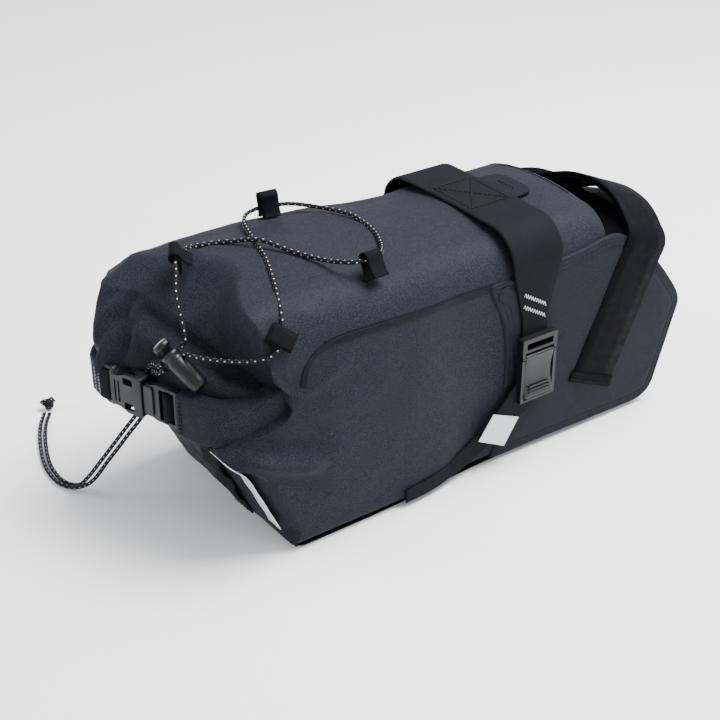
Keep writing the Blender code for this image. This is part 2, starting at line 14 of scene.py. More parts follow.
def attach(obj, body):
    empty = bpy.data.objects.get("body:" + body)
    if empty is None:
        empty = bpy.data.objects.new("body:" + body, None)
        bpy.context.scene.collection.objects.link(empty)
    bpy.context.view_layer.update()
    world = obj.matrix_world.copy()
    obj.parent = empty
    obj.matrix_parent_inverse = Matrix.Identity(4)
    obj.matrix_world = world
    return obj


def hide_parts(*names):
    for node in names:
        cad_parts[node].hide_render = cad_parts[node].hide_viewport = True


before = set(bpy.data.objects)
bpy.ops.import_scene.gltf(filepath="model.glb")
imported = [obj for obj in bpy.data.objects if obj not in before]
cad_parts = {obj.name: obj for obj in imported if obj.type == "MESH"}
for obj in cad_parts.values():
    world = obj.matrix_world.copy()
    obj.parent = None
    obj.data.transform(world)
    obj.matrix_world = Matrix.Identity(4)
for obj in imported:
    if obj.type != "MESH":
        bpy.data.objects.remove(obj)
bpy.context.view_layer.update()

MM = 0.001
DATUM_X = 119.9
CAMERA_TURN = radians(-35.5)
CAMERA_RISE = radians(30.0)
CAMERA_PLACE = (-0.4979, -0.6620, 0.5350)
CAMERA_LENS = 74.55
WING_OUTSIDE = 65.0
BASE_LENGTH = 243.0
STRAP_X = 180.0
SHARP_EDGE = radians(35)
SIDES = (("right", -1), ("left", 1))
FORWARD = Vector((1, 0, 0))
LEFT = Vector((0, 1, 0))
UP = Vector((0, 0, 1))


# ---------------------------------------------------------------- helpers

def at(x, y, z):
    return Vector((x - DATUM_X, y, z)) * MM


def step(value):
    """0 below 0, 1 above 1, smooth between."""
    t = min(max(value, 0.0), 1.0)
    return t * t * (3 - 2 * t)


def smooth_path(points, spacing):
    """Points every `spacing` metres along a smooth curve through the given ones."""
    points = [Vector(p) for p in points]
    ends = [2 * points[0] - points[1], *points, 2 * points[-1] - points[-2]]
    fine = []
    for a, b, c, d in zip(ends, ends[1:], ends[2:], ends[3:]):
        for k in range(12):
            t = k / 12
            fine.append(0.5 * (2 * b + (c - a) * t + (2 * a - 5 * b + 4 * c - d) * t ** 2
                               + (3 * b - a - 3 * c + d) * t ** 3))
    fine.append(points[-1].copy())
    return even(fine, spacing)


def even(fine, spacing):
    """The same line with points every `spacing` metres."""
    lengths = [0.0]
    for a, b in zip(fine, fine[1:]):
        lengths.append(lengths[-1] + (b - a).length)
    count = max(2, round(lengths[-1] / spacing))
    result = []
    k = 0
    for i in range(count + 1):
        goal = lengths[-1] * i / count
        while k < len(fine) - 2 and lengths[k + 1] < goal:
            k += 1
        share = (goal - lengths[k]) / max(lengths[k + 1] - lengths[k], 1e-9)
        result.append(fine[k].lerp(fine[k + 1], min(share, 1.0)))
    return result


def runs(path):
    last = len(path) - 1
    return [(path[min(i + 1, last)] - path[max(i - 1, 0)]).normalized() for i in range(len(path))]


def piece(name, points, faces, finish, body="bag", uv=None, face_material=None):
    """A smooth mesh in row coordinates that rides on a body. `finish` is a material or several."""
    mesh = bpy.data.meshes.new(name)
    mesh.from_pydata(points, [], faces)
    for material in finish if isinstance(finish, (list, tuple)) else [finish]:
        mesh.materials.append(material)
    mesh.polygons.foreach_set("use_smooth", [True] * len(mesh.polygons))
    if face_material:
        mesh.polygons.foreach_set("material_index", face_material)
    if uv:
        layer = mesh.uv_layers.new(name="weave")
        for loop in mesh.loops:
            layer.data[loop.index].uv = uv[loop.vertex_index]
    made = bpy.data.objects.new(name, mesh)
    bpy.context.scene.collection.objects.link(made)
    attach(made, body)
    return made


def loft_faces(count, size):
    """The faces between rings of points, and the two that close its ends."""
    faces = []
    for k in range(count - 1):
        for i in range(size):
            j = (i + 1) % size
            faces.append((k * size + i, k * size + j, (k + 1) * size + j, (k + 1) * size + i))
    faces.append(tuple(reversed(range(size))))
    faces.append(tuple(range((count - 1) * size, count * size)))
    return faces


def turned_over(faces):
    return [tuple(reversed(face)) for face in faces]


def soften(made, width):
    """Rounds the hard edges of a piece."""
    bevel = made.modifiers.new("edges", "BEVEL")
    bevel.width = width * MM
    bevel.segments = 3
    bevel.limit_method = "ANGLE"
    bevel.angle_limit = SHARP_EDGE
    made.modifiers.new("normals", "WEIGHTED_NORMAL").keep_sharp = True


def settle(made):
    """Applies a piece's modifiers, so that its mesh is final."""
    depsgraph = bpy.context.evaluated_depsgraph_get()
    final = bpy.data.meshes.new_from_object(made.evaluated_get(depsgraph))
    made.modifiers.clear()
    made.data = final
    return made


# Webbing in section: places across it and out of it, as shares of half its width and its thickness.
BAND_SECTION = [(-1.0, 0.0), (-1.0, 0.35), (-0.985, 0.75), (-0.95, 0.97), (-0.88, 1.0), (-0.5, 1.0),
                (0.0, 1.0), (0.5, 1.0), (0.88, 1.0), (0.95, 0.97), (0.985, 0.75), (1.0, 0.35), (1.0, 0.0),
                (0.5, 0.0), (0.0, 0.0), (-0.5, 0.0)]


def band(name, path, outs, width, thick, finish, body="bag", lift=0.0, ridge=0.0):
    """Webbing along a path, its inner face `lift` mm outside it. `outs` point off what it lies on."""
    directions = runs(path)
    points, uv = [], []
    travelled = 0.0
    for i, p in enumerate(path):
        out = outs[i] if isinstance(outs, list) else outs
        out = (out - directions[i] * out.dot(directions[i])).normalized()
        side = directions[i].cross(out)
        half = (width[i] if isinstance(width, list) else width) / 2
        if i:
            travelled += (p - path[i - 1]).length
        for a, b in BAND_SECTION:
            height = lift + thick * b + ridge * b * (1 - a * a)
            points.append(p + (side * a * half + out * height) * MM)
            uv.append((a * half * MM, travelled))
    return piece(name, points, loft_faces(len(path), len(BAND_SECTION)), finish, body, uv=uv)


def tube(name, path, radius, finish, body="bag", sides=12, face_material=None):
    """A round mesh along a path, radius in mm. Its rings don't twist."""
    directions = runs(path)
    across = directions[0].orthogonal().normalized()
    points, uv = [], []
    travelled = 0.0
    for i, p in enumerate(path):
        across = (across - directions[i] * across.dot(directions[i])).normalized()
        second = directions[i].cross(across)
        if i:
            travelled += (p - path[i - 1]).length
        for k in range(sides):
            turn = 2 * pi * k / sides
            points.append(p + (across * cos(turn) + second * sin(turn)) * radius * MM)
            uv.append((k / sides, travelled))
    faces = loft_faces(len(path), sides)
    kinds = None
    if face_material:
        kinds = [face_material(k, i) for k in range(len(path) - 1) for i in range(sides)]
        kinds += [0] * (len(faces) - len(kinds))
    return piece(name, points, faces, finish, body, uv=uv, face_material=kinds)


def turned(name, start, run, profile, finish, body="bag", sides=40, ribs=None):
    """A turned piece; profile is (distance along, radius) in mm. ribs is (low, high, count, depth)."""
    run = run.normalized()
    first = run.orthogonal().normalized()
    second = run.cross(first)
    points = []
    for distance, radius in profile:
        for k in range(sides):
            turn = 2 * pi * k / sides
            r = radius
            if ribs and ribs[0] <= distance <= ribs[1]:
                r -= ribs[3] * (0.5 + 0.5 * cos(turn * ribs[2]))
            points.append(start + (run * distance + (first * cos(turn) + second * sin(turn)) * r) * MM)
    return piece(name, points, loft_faces(len(profile), sides), finish, body)


def plate(name, outline, low, high, axes, finish, edge, body="bag", origin=at(0, 0, 0)):
    """A flat plate: an outline in two axes, from low to high on the third, with round edges."""
    first, second, third = axes
    area = sum(a[0] * b[1] - b[0] * a[1] for a, b in zip(outline, outline[1:] + outline[:1]))
    turned_right = first.cross(second).dot(third) > 0
    ordered = outline if (area > 0) == turned_right else outline[::-1]
    points = []
    for level in (low, high):
        points += [origin + (first * a + second * b + third * level) * MM for a, b in ordered]
    made = piece(name, points, loft_faces(2, len(outline)), finish, body)
    soften(made, edge)
    return made


def cut(made, cutters):
    """Takes the cutters, given as (low corner, high corner, axes, origin), out of a piece."""
    for number, (low, high, axes, origin) in enumerate(cutters):
        first, second, third = axes
        corners = []
        for c in (low[2], high[2]):
            for a, b in ((low[0], low[1]), (high[0], low[1]), (high[0], high[1]), (low[0], high[1])):
                corners.append(origin + (first * a + second * b + third * c) * MM)
        faces = loft_faces(2, 4)
        if first.cross(second).dot(third) < 0:
            faces = turned_over(faces)
        mesh = bpy.data.meshes.new("cutter")
        mesh.from_pydata(corners, [], faces)
        cutter = bpy.data.objects.new("cutter", mesh)
        bpy.context.scene.collection.objects.link(cutter)
        modifier = made.modifiers.new(f"cut_{number}", "BOOLEAN")
        modifier.operation = "DIFFERENCE"
        modifier.solver = "EXACT"
        modifier.object = cutter
        settle(made)
        bpy.data.objects.remove(cutter, do_unlink=True)


# ---------------------------------------------------------------- camera

def make_camera():
    right = Vector((cos(CAMERA_TURN), sin(CAMERA_TURN), 0.0))
    level = cos(CAMERA_RISE)
    back = Vector((sin(CAMERA_TURN) * level, -cos(CAMERA_TURN) * level, sin(CAMERA_RISE)))
    up = back.cross(right)
    camera = bpy.data.objects.new("camera", bpy.data.cameras.new("camera"))
    camera.data.lens = CAMERA_LENS
    camera.data.sensor_width = 36.0
    camera.data.clip_start = 0.01
    camera.data.clip_end = 50.0
    turn = Matrix((right, up, back)).transposed().to_4x4()
    camera.matrix_world = Matrix.Translation(CAMERA_PLACE) @ turn
    bpy.context.scene.collection.objects.link(camera)
    bpy.context.scene.camera = camera


make_camera()


# ---------------------------------------------------------------- materials

def fill(tree, socket, value):
    """Links a socket to another, or sets it to a constant."""
    if isinstance(value, bpy.types.NodeSocket):
        tree.links.new(value, socket)
    else:
        socket.default_value = value


def node(tree, kind, **values):
    """Adds a node; each value is an input's number, a socket to link to it, or a setting."""
    made = tree.nodes.new(kind)
    for key, value in values.items():
        if not key[0].isupper():
            setattr(made, key, value)
            continue
        socket = next(s for s in made.inputs if s.name == key.replace("_", " ") and s.enabled)
        fill(tree, socket, value)
    return made


def maths(tree, operation, a, b=0.0):
    made = tree.nodes.new("ShaderNodeMath")
    made.operation = operation
    fill(tree, made.inputs[0], a)
    fill(tree, made.inputs[1], b)
    return made.outputs[0]


def noise_of(tree, place, scale, detail=2.0, rough=0.5):
    made = node(tree, "ShaderNodeTexNoise", Vector=place, Scale=scale, Detail=detail, Roughness=rough)
    return made.outputs[0]


def weighed(tree, *parts):
    """The sum of (socket, weight) parts."""
    total = None
    for socket, weight in parts:
        part = maths(tree, "MULTIPLY", socket, weight)
        total = maths(tree, "ADD", total, part) if total else part
    return total


def coloured(tree, shader, tone, dark, light):
    """The base colour, from dark to light with the tone."""
    made = node(tree, "ShaderNodeMix", data_type="RGBA")
    for index, value in ((0, tone), (6, (*dark, 1.0)), (7, (*light, 1.0))):
        fill(tree, made.inputs[index], value)
    tree.links.new(made.outputs[2], shader.inputs["Base Color"])


def roughened(tree, shader, cloud, low, high):
    tree.links.new(ranged(tree, cloud, 0.3, 0.7, low, high), shader.inputs["Roughness"])


def ranged(tree, value, low, high, to_low, to_high):
    return node(tree, "ShaderNodeMapRange", Value=value, From_Min=low, From_Max=high,
                To_Min=to_low, To_Max=to_high).outputs[0]


def begun(name):
    """A new material: it, its tree, its shader and the place in the row frame, in metres."""
    material = bpy.data.materials.new(name)
    material.use_nodes = True
    tree = material.node_tree
    shader = tree.nodes["Principled BSDF"]
    place = tree.nodes.new("ShaderNodeTexCoord").outputs["Object"]
    return material, tree, shader, place


def bumped(tree, shader, heights):
    """Bump from (height socket, strength, distance in mm), one on another."""
    last = None
    for height, strength, distance in heights:
        made = node(tree, "ShaderNodeBump", Height=height, Strength=strength, Distance=distance * MM)
        if last:
            tree.links.new(last, made.inputs["Normal"])
        last = made.outputs[0]
    tree.links.new(last, shader.inputs["Normal"])


def fabric(name, dark, light, rough=(0.50, 0.66), grain=1500.0, sheen=0.01, bump=0.5):
    """Coated fabric: a fine mottled grain, soft cloudy patches, and faint rubbed places."""
    material, tree, shader, place = begun(name)
    fine = noise_of(tree, place, grain, 3.0, 0.62)
    speck = ranged(tree, fine, 0.40, 0.64, 0.0, 1.0)
    middle = noise_of(tree, place, 210.0, 3.0, 0.55)
    broad = noise_of(tree, place, 24.0, 2.0, 0.5)
    tone = weighed(tree, (speck, 0.66), (middle, 0.24), (broad, 0.22))
    coloured(tree, shader, maths(tree, "SUBTRACT", tone, 0.10), dark, light)
    roughened(tree, shader, middle, *rough)
    shader.inputs["Sheen Weight"].default_value = sheen
    shader.inputs["Sheen Roughness"].default_value = 0.45
    shader.inputs["Specular IOR Level"].default_value = 0.05
    cells = node(tree, "ShaderNodeTexVoronoi", Vector=place, Scale=grain * 0.72).outputs["Distance"]
    bumped(tree, shader, [(middle, 0.25, 0.5), (fine, bump, 0.16), (cells, 0.25, 0.12)])
    return material


def woven(name, dark, light, pitch=1.3):
    """Webbing: ribs across it and a twill along it, from its own UV in metres."""
    material, tree, shader, place = begun(name)
    uv = node(tree, "ShaderNodeUVMap", uv_map="weave").outputs[0]
    parts = node(tree, "ShaderNodeSeparateXYZ", Vector=uv)
    across = maths(tree, "MULTIPLY", parts.outputs[0], 2 * pi / (pitch * MM))
    along = maths(tree, "MULTIPLY", parts.outputs[1], 2 * pi / (pitch * 0.75 * MM))
    columns = maths(tree, "ABSOLUTE", maths(tree, "SINE", maths(tree, "MULTIPLY", across, 0.5)))
    twill = maths(tree, "SINE", maths(tree, "ADD", along, maths(tree, "MULTIPLY", columns, 2.2)))
    height = weighed(tree, (columns, 0.6), (twill, 0.4))
    fluff = noise_of(tree, place, 900.0, 3.0, 0.6)
    worn = noise_of(tree, place, 60.0, 2.0, 0.5)
    coloured(tree, shader, weighed(tree, (height, 0.45), (fluff, 0.4), (worn, 0.25)), dark, light)
    roughened(tree, shader, fluff, 0.56, 0.72)
    shader.inputs["Specular IOR Level"].default_value = 0.04
    bumped(tree, shader, [(height, 0.5, 0.22), (fluff, 0.3, 0.1)])
    return material


def braid(name, dark, light):
    """Cord sheath: crossed helical strands from its UV, turns by metres."""
    material, tree, shader, place = begun(name)
    uv = node(tree, "ShaderNodeUVMap", uv_map="weave").outputs[0]
    parts = node(tree, "ShaderNodeSeparateXYZ", Vector=uv)
    turn = maths(tree, "MULTIPLY", parts.outputs[0], 2 * pi * 8)
    along = maths(tree, "MULTIPLY", parts.outputs[1], 2 * pi / 0.0016)
    first = maths(tree, "SINE", maths(tree, "ADD", turn, along))
    second = maths(tree, "SINE", maths(tree, "SUBTRACT", turn, along))
    height = maths(tree, "MAXIMUM", first, second)
    fluff = noise_of(tree, place, 1600.0, 2.0, 0.6)
    coloured(tree, shader, weighed(tree, (height, 0.4), (fluff, 0.5)), dark, light)
    roughened(tree, shader, fluff, 0.62, 0.8)
    shader.inputs["Specular IOR Level"].default_value = 0.15
    bumped(tree, shader, [(height, 0.6, 0.16), (fluff, 0.3, 0.08)])
    return material


def moulded(name, dark, light, rough=(0.34, 0.46), shine=0.5):
    """Moulded plastic, board or thread: a very fine spark texture with faint handling marks."""
    material, tree, shader, place = begun(name)
    spark = noise_of(tree, place, 2600.0, 2.0, 0.6)
    marks = noise_of(tree, place, 130.0, 4.0, 0.65)
    coloured(tree, shader, weighed(tree, (spark, 0.5), (marks, 0.4)), dark, light)
    roughened(tree, shader, marks, *rough)
    shader.inputs["Specular IOR Level"].default_value = shine
    bumped(tree, shader, [(spark, 0.2, 0.06), (marks, 0.08, 0.2)])
    return material


def beaded(name, dark, light):
    """Reflective tape: tiny cells under a satin face."""
    material, tree, shader, place = begun(name)
    cells = node(tree, "ShaderNodeTexVoronoi", Vector=place, Scale=1500.0).outputs["Distance"]
    cloud = noise_of(tree, place, 90.0, 3.0, 0.6)
    coloured(tree, shader, weighed(tree, (cells, 0.8), (cloud, 0.5)), dark, light)
    roughened(tree, shader, cloud, 0.32, 0.48)
    shader.inputs["Coat Weight"].default_value = 0.2
    shader.inputs["Coat Roughness"].default_value = 0.25
    bumped(tree, shader, [(cells, 0.25, 0.06)])
    return material


BODY = fabric("body_fabric", (0.0040, 0.0046, 0.0070), (0.0240, 0.0264, 0.0360))
PANEL = fabric("wing_fabric", (0.0034, 0.0038, 0.0060), (0.0176, 0.0194, 0.0268), grain=1900.0, bump=0.4)
WELD = fabric("welded_tape", (0.0020, 0.0023, 0.0040), (0.0095, 0.0105, 0.0155), (0.40, 0.55),
              grain=1900.0, bump=0.3)
LINING = fabric("dark_lining", (0.0006, 0.0007, 0.0011), (0.0032, 0.0035, 0.0050), (0.60, 0.78), sheen=0.0)
WEB = woven("webbing", (0.0018, 0.0020, 0.0030), (0.0100, 0.0109, 0.0148))
RAIL_WEB = woven("rail_webbing", (0.0004, 0.0004, 0.0008), (0.0022, 0.0024, 0.0038))
TAB = woven("tab_webbing", (0.0012, 0.0013, 0.0018), (0.0055, 0.0060, 0.0080), pitch=1.0)
PLASTIC = moulded("black_plastic", (0.0018, 0.0019, 0.0026), (0.0060, 0.0064, 0.0082), shine=0.3)
TIP = moulded("plunger_plastic", (0.13, 0.13, 0.14), (0.22, 0.22, 0.23), (0.22, 0.32))
FOAM = fabric("grip_foam", (0.003, 0.003, 0.004), (0.0100, 0.0105, 0.0125), (0.70, 0.86), grain=900.0)
BOARD = moulded("board", (0.010, 0.010, 0.012), (0.020, 0.020, 0.023), (0.5, 0.62))
REFLECT = beaded("reflective_tape", (0.30, 0.31, 0.35), (0.58, 0.60, 0.65))
THREAD = moulded("white_thread", (0.28, 0.28, 0.31), (0.46, 0.46, 0.49), (0.6, 0.75))
DARK_THREAD = moulded("dark_thread", (0.0010, 0.0010, 0.0015), (0.0035, 0.0035, 0.0048), (0.6, 0.75), 0.2)
CORD = braid("cord_sheath", (0.0014, 0.0015, 0.0022), (0.0085, 0.0092, 0.0125))


# ---------------------------------------------------------------- cords

BUNGEE_ROUTE = [
    (-42.5, -21.5, 129.5), (-40.0, -22.5, 134.5), (-38.5, -17.0, 143.0), (-36.0, -8.0, 154.0),
    (-30.0, 2.0, 163.0), (-24.0, 12.0, 166.5), (-12.0, 22.0, 164.5), (2.0, 24.0, 162.5),
    (15.0, 17.0, 163.4), (26.0, 3.0, 166.4), (36.0, -13.0, 163.2), (45.0, -32.0, 162.6),
    (50.0, -45.0, 164.8), (56.0, -52.2, 166.2), (63.5, -53.3, 166.8), (70.0, -51.2, 166.0),
    (78.0, -44.0, 163.0), (88.0, -30.0, 160.0), (96.5, -10.0, 158.9), (98.5, 14.0, 158.9),
    (91.0, 34.0, 158.4), (78.0, 45.0, 160.4), (68.0, 48.2, 161.6), (60.6, 49.2, 162.0),
    (53.0, 50.4, 161.8), (44.0, 48.0, 161.2), (36.5, 38.0, 161.6), (31.0, 24.0, 162.4),
    (25.5, 6.0, 162.8), (20.0, -12.0, 162.9), (12.0, -32.0, 160.8), (4.0, -50.0, 156.8),
    (-2.0, -63.0, 149.6), (-6.5, -69.0, 143.2), (-13.0, -70.5, 137.5), (-22.0, -64.0, 133.5),
    (-32.0, -50.0, 130.5), (-39.5, -36.0, 128.5), (-43.5, -25.5, 127.5),
]
TAIL_ROUTE = [
    (-52.5, -18.5, 119.0), (-52.8, -12.0, 114.0), (-51.0, -2.0, 110.0), (-49.7, 6.0, 102.0),
    (-49.6, 10.0, 88.0), (-52.0, 14.0, 74.0), (-59.0, 24.0, 56.0), (-67.0, 38.0, 33.0),
    (-73.5, 51.0, 13.0), (-78.4, 62.5, 3.4), (-83.0, 76.0, 1.6), (-81.6, 96.0, 1.6),
    (-73.7, 120.0, 1.6), (-63.8, 141.0, 1.6), (-55.0, 154.0, 1.6),
]
TAIL_OFFSET = 1.75
TAIL_HANGING = 9  # points of the route before the tails reach the ground
KNOT = (-50.5, 160.0, 5.0)
KNOT_TURNS = 1.5
CORD_RADIUS = 1.25
VIEW_BACK = Vector((-0.503, -0.705, 0.5))


def tracer(ring, side):
    """Pale dots in four rows round the sheath, which show as two."""
    return 1 if side % 3 == 0 and (ring + side // 3 * 2) % 5 == 0 else 0


def tail_points(offset):
    strand = []
    last = len(TAIL_ROUTE) - 1
    for i, p in enumerate(TAIL_ROUTE):
        run = Vector(TAIL_ROUTE[min(i + 1, last)]) - Vector(TAIL_ROUTE[max(i - 1, 0)])
        side = run.cross(VIEW_BACK if i < TAIL_HANGING else UP).normalized()
        strand.append(at(*(Vector(p) + side * offset)))
    return smooth_path(strand, 0.9 * MM)


def path_length(path):
    return sum((b - a).length for a, b in zip(path, path[1:]))


def make_knot():
    """An overhand knot of the two tails: turns of cord round a core, with two short ends."""
    centre = Vector(KNOT)
    path = []
    for i in range(97):
        turn = 2 * pi * KNOT_TURNS * i / 96
        wide = 2.9 + 0.9 * cos(4 * turn / KNOT_TURNS)
        path.append(at(*(centre + Vector((wide * cos(turn), sin(3 * turn), wide * sin(turn) - 0.3)))))
    wound = tube("knot_turns", path, 1.35, [CORD, THREAD], face_material=tracer)
    half = [(-3.4, 0.6), (-2.8, 1.8), (-1.4, 2.6)]
    profile = [*half, (0, 2.9), *((-distance, radius) for distance, radius in reversed(half))]
    core = turned("knot_core", at(*KNOT), LEFT, profile, CORD)
    ends = []
    for number, sign in enumerate((-1, 1)):
        tip = [at(*(centre + Vector(step_from))) for step_from in
               ((sign * 1.0, 1.0, 1.0), (sign * 2.4, 3.0, 0.8), (sign * 3.4, 4.6, -0.4))]
        ends.append(tube(f"knot_end_{number + 1}", smooth_path(tip, 0.8 * MM), CORD_RADIUS,
                         [CORD, THREAD], face_material=tracer))
    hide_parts("cord_knot")
    return [wound, core, *ends]


def make_cords():
    knot = make_knot()
    for number, offset in ((1, -TAIL_OFFSET), (2, TAIL_OFFSET)):
        path = tail_points(offset)
        tail = tube(f"tail_{number}", path, CORD_RADIUS, [CORD, THREAD], face_material=tracer)
        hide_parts(f"cord_tail_{number}")
    lace = smooth_path([at(*p) for p in BUNGEE_ROUTE], 0.9 * MM)
    laced = tube("laced_cord", lace, CORD_RADIUS, [CORD, THREAD], face_material=tracer)
    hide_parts("bungee_cord")


make_cords()


# ---------------------------------------------------------------- body

REAR_LEAN = 37.0
REAR_PANEL_HEIGHT = 76.0
SECTION_POINTS = 260
UNDERSIDE = 1.9
MOUTH_HEIGHT = 92.0
CAP_ROWS = 44
FRONT_MIDDLE = 78.0
# The front's round edge: how far in from the section, and how far forward of the front face.
FRONT_EDGE = [(0.0, -5.0), (0.4, -3.4), (1.2, -1.8), (2.4, -0.7), (4.0, -0.1), (7.0, 0.0)]


def body_half_width(x):
    return 63.0 + 7.0 * step((140 - x) / 60)


def body_top(x):
    return 155 + 6.5 * exp(-((x - 10) / 70) ** 2) + 1.5 * step((150 - x) / 70)


def flap_edge_x(y):
    return max(-32.0 - 0.42 * y, -53.0) + 34 * step((y - 40) / 30)


def flap_edge_z(y):
    return min(132.0 + 0.42 * y, 143.0)


def mouth_x(y):
    return -REAR_LEAN + 30 * step((-y - 8) / 58) + 8 * step((y - 52) / 18)


# The far end of the rolled mouth stands out as a ridge: height, its y, its x.
FAR_RIDGE = [(76, 30, -37), (80, 30, -58), (86, 30, -66), (96, 30, -69.5), (106, 30, -70), (125, 37, -66.5),
             (143, 45, -57), (160, 50, -46)]


def between(table, z):
    """The other values of a table at a height."""
    for low, high in zip(table, table[1:]):
        if z <= high[0]:
            t = min(max((z - low[0]) / (high[0] - low[0]), 0.0), 1.0)
            return [a + (b - a) * t for a, b in zip(low[1:], high[1:])]
    return list(table[-1][1:])


def smooth_least(a, b, reach):
    h = min(max(0.5 + 0.5 * (b - a) / reach, 0.0), 1.0)
    return b * (1 - h) + a * h - reach * h * (1 - h)


def rear_x(y, z):
    """How far back the rear lies at a place of the section, with the ridge at its far end."""
    plain = plain_rear_x(y, z)
    if z <= REAR_PANEL_HEIGHT:
        return plain
    ridge_y, ridge_x = between(FAR_RIDGE, z)
    away = y - ridge_y
    steep = 1.15 if away > 0 else 0.95
    ridge = ridge_x + steep * (sqrt(away * away + 20) - sqrt(20))
    return smooth_least(plain, ridge, 5.0)


def plain_rear_x(y, z):
    panel = -REAR_LEAN * min(z, REAR_PANEL_HEIGHT) / REAR_PANEL_HEIGHT
    panel -= 6.0 * (1 - (y / 70) ** 2) * step(z / 24) * (1 - step((z - 60) / 30))
    panel += 9.0 * max(0.0, (abs(y) - 38) / 32) ** 2 * step(z / 16) * (1 - step((z - 62) / 14))
    near = step((-y - 34) / 26)
    panel -= 5.5 * near * step((z - 58) / 18)
    if z <= REAR_PANEL_HEIGHT:
        return panel
    tucked = panel + (mouth_x(y) - panel) * step((z - REAR_PANEL_HEIGHT) / (11 + 13 * near))
    return tucked + (flap_edge_x(y) - tucked) * step((z - flap_edge_z(y) + 22) / 20)


def section(x):
    """The body's section at a station as evenly spaced (y, z), from the middle of its underside."""
    half = body_half_width(x)
    high = body_top(x)
    low = UNDERSIDE
    low_r, top_r = 8.0, 27.0 + 6.0 * step((60 - x) / 60)
    profile = [(0.0, low), ((half - low_r) * 0.5, low)]
    profile += [(half - low_r + low_r * sin(t), low + low_r - low_r * cos(t))
                for t in (radians(90 * i / 8) for i in range(9))]
    side_low, side_high = low + low_r, high - top_r - 4
    for i in range(1, 12):
        share = i / 12
        bulge = 1.3 * sin(pi * share) * step((150 - x) / 50)
        profile.append((half + bulge, side_low + (side_high - side_low) * share))
    profile += [(half - top_r + top_r * cos(t), side_high + top_r * sin(t))
                for t in (radians(90 * i / 14) for i in range(15))]
    crown = high - side_high - top_r
    for share in (0.75, 0.5, 0.25, 0.0):
        profile.append(((half - top_r) * share, side_high + top_r + crown * (1 - share * share)))
    line = [Vector((y, z, 0)) * MM for y, z in profile]
    right = even(line, path_length(line) / (SECTION_POINTS / 2))
    right = [(p.x / MM, p.y / MM) for p in right]
    left = [(-y, z) for y, z in right[-2:0:-1]]
    return right + left


def lean(s):
    return max(0.0, 1 - s / 80) ** 1.45


def drop_start(y):
    """The station where the top flap starts to fall towards its edge."""
    return 8 + 14 * exp(-((y - 2) / 30) ** 2)


def body_point(s, y, z):
    """Where a place of the section at station s lies: the flap droops and the near corner bulges back."""
    edge = flap_edge_z(y)
    over = z - edge
    bulge = 0.0
    if over > 0:
        fall = max(0.0, 1 - s / drop_start(y))
        z -= over * 0.88 * fall ** 1.3
        bulge = 19 * step((-y - 10) / 48) * step((over - 3) / 18) * step(s / 7) * (1 - step((s - 10) / 52))
    x = s + rear_x(y, z) * lean(s) - bulge
    tuck = 9.5 * step((-x - 6) / 38) * step((z - 56) / 18) * step((112 - z) / 14)
    return Vector((x, y + tuck if y < -50 else y, z))


def cap_point(y, z, share):
    """A place of the gathered rear, from the section's edge (share 1) to the mouth line (share 0)."""
    middle = min(max(y, -38.0), 38.0)
    y = middle + (y - middle) * share
    z = MOUTH_HEIGHT + (z - MOUTH_HEIGHT) * share
    x = rear_x(y, z)
    below = flap_edge_z(y) - z
    if z > REAR_PANEL_HEIGHT:
        inside = step((1 - share) / 0.12) * step((26 - y) / 16)
        x += 5.0 * exp(-((below - 5.0) / 2.6) ** 2) * inside
        x -= 4.2 * exp(-((below - 12.5) / 5.0) ** 2) * inside * step((y + 62) / 20)
        valley = 15 + (z - 90) * 0.28
        x += 6.5 * exp(-((y - valley) / 4.0) ** 2) * step((z - 84) / 8) * step((138 - z) / 12)
        pleat = sin(y * 0.55 + z * 0.13) * step((y - 8) / 12) * step((40 - y) / 10)
        x += 2.4 * pleat * step((1 - share) / 0.12)
    return Vector((x, y, z))


def strap_press(p):
    """How far the compression strap presses the body in, in mm."""
    near = step((26 - abs(p.x - STRAP_X)) / 8)
    return 0.9 * near * step((p.z - 90) / 30)


def crease(p, start, end, width, depth):
    """A valley along a line on the body, in mm."""
    a, b = Vector(start), Vector(end)
    share = min(max((p - a).dot(b - a) / (b - a).length_squared, 0.0), 1.0)
    distance = (p - a.lerp(b, share)).length
    fade = sin(pi * min(max(0.04 + 0.92 * share, 0.0), 1.0)) ** 0.5
    return depth * fade * exp(-(distance / width) ** 2)


# Folds of the body: start, end, width, depth (negative stands out).
FOLDS = [
    ((-36, -66, 74), (14, -71, 56), 4.5, 5.6),
    ((-32, -66, 85), (20, -71, 67), 6.5, -3.8),
    ((-4, -68, 103), (34, -71, 118), 4.5, 1.8),
    ((-10, -69, 116), (30, -71, 130), 6.0, -1.3),
    ((2, -70, 96), (52, -71, 88), 6.0, 1.5),
    ((6, -71, 86), (60, -71, 74), 7.0, -1.0),
    ((-16, -70, 140), (12, -71, 122), 4.5, 1.2),
    ((-4, -48, 158), (24, -66, 146), 5.0, 0.9),
    ((-2, -70, 40), (40, -71, 26), 7.0, 0.9),
    ((30, 30, 162), (60, 46, 160), 6.0, 0.7),
    ((-12, 22, 160), (16, 26, 162), 5.0, 0.8),
    ((120, -64, 120), (150, -60, 128), 6.0, 0.7),
    ((124, -66, 58), (146, -64, 46), 6.0, 0.7),
]


def soft_relief(p):
    """The small hollows and swells of filled fabric, in mm outward."""
    broad = noise.noise(p * 0.016 + Vector((3.1, 0.7, 5.2))) * 1.5
    middle = noise.noise(p * 0.045 + Vector((8.4, 2.2, 1.7))) * 0.55
    gathered = step((30 - p.x) / 70)
    small = noise.noise(Vector((p.x * 0.09, p.y * 0.16, p.z * 0.09))) * 0.9 * gathered
    return (broad + middle) * (0.5 + 0.5 * step((150 - p.x) / 60)) + small


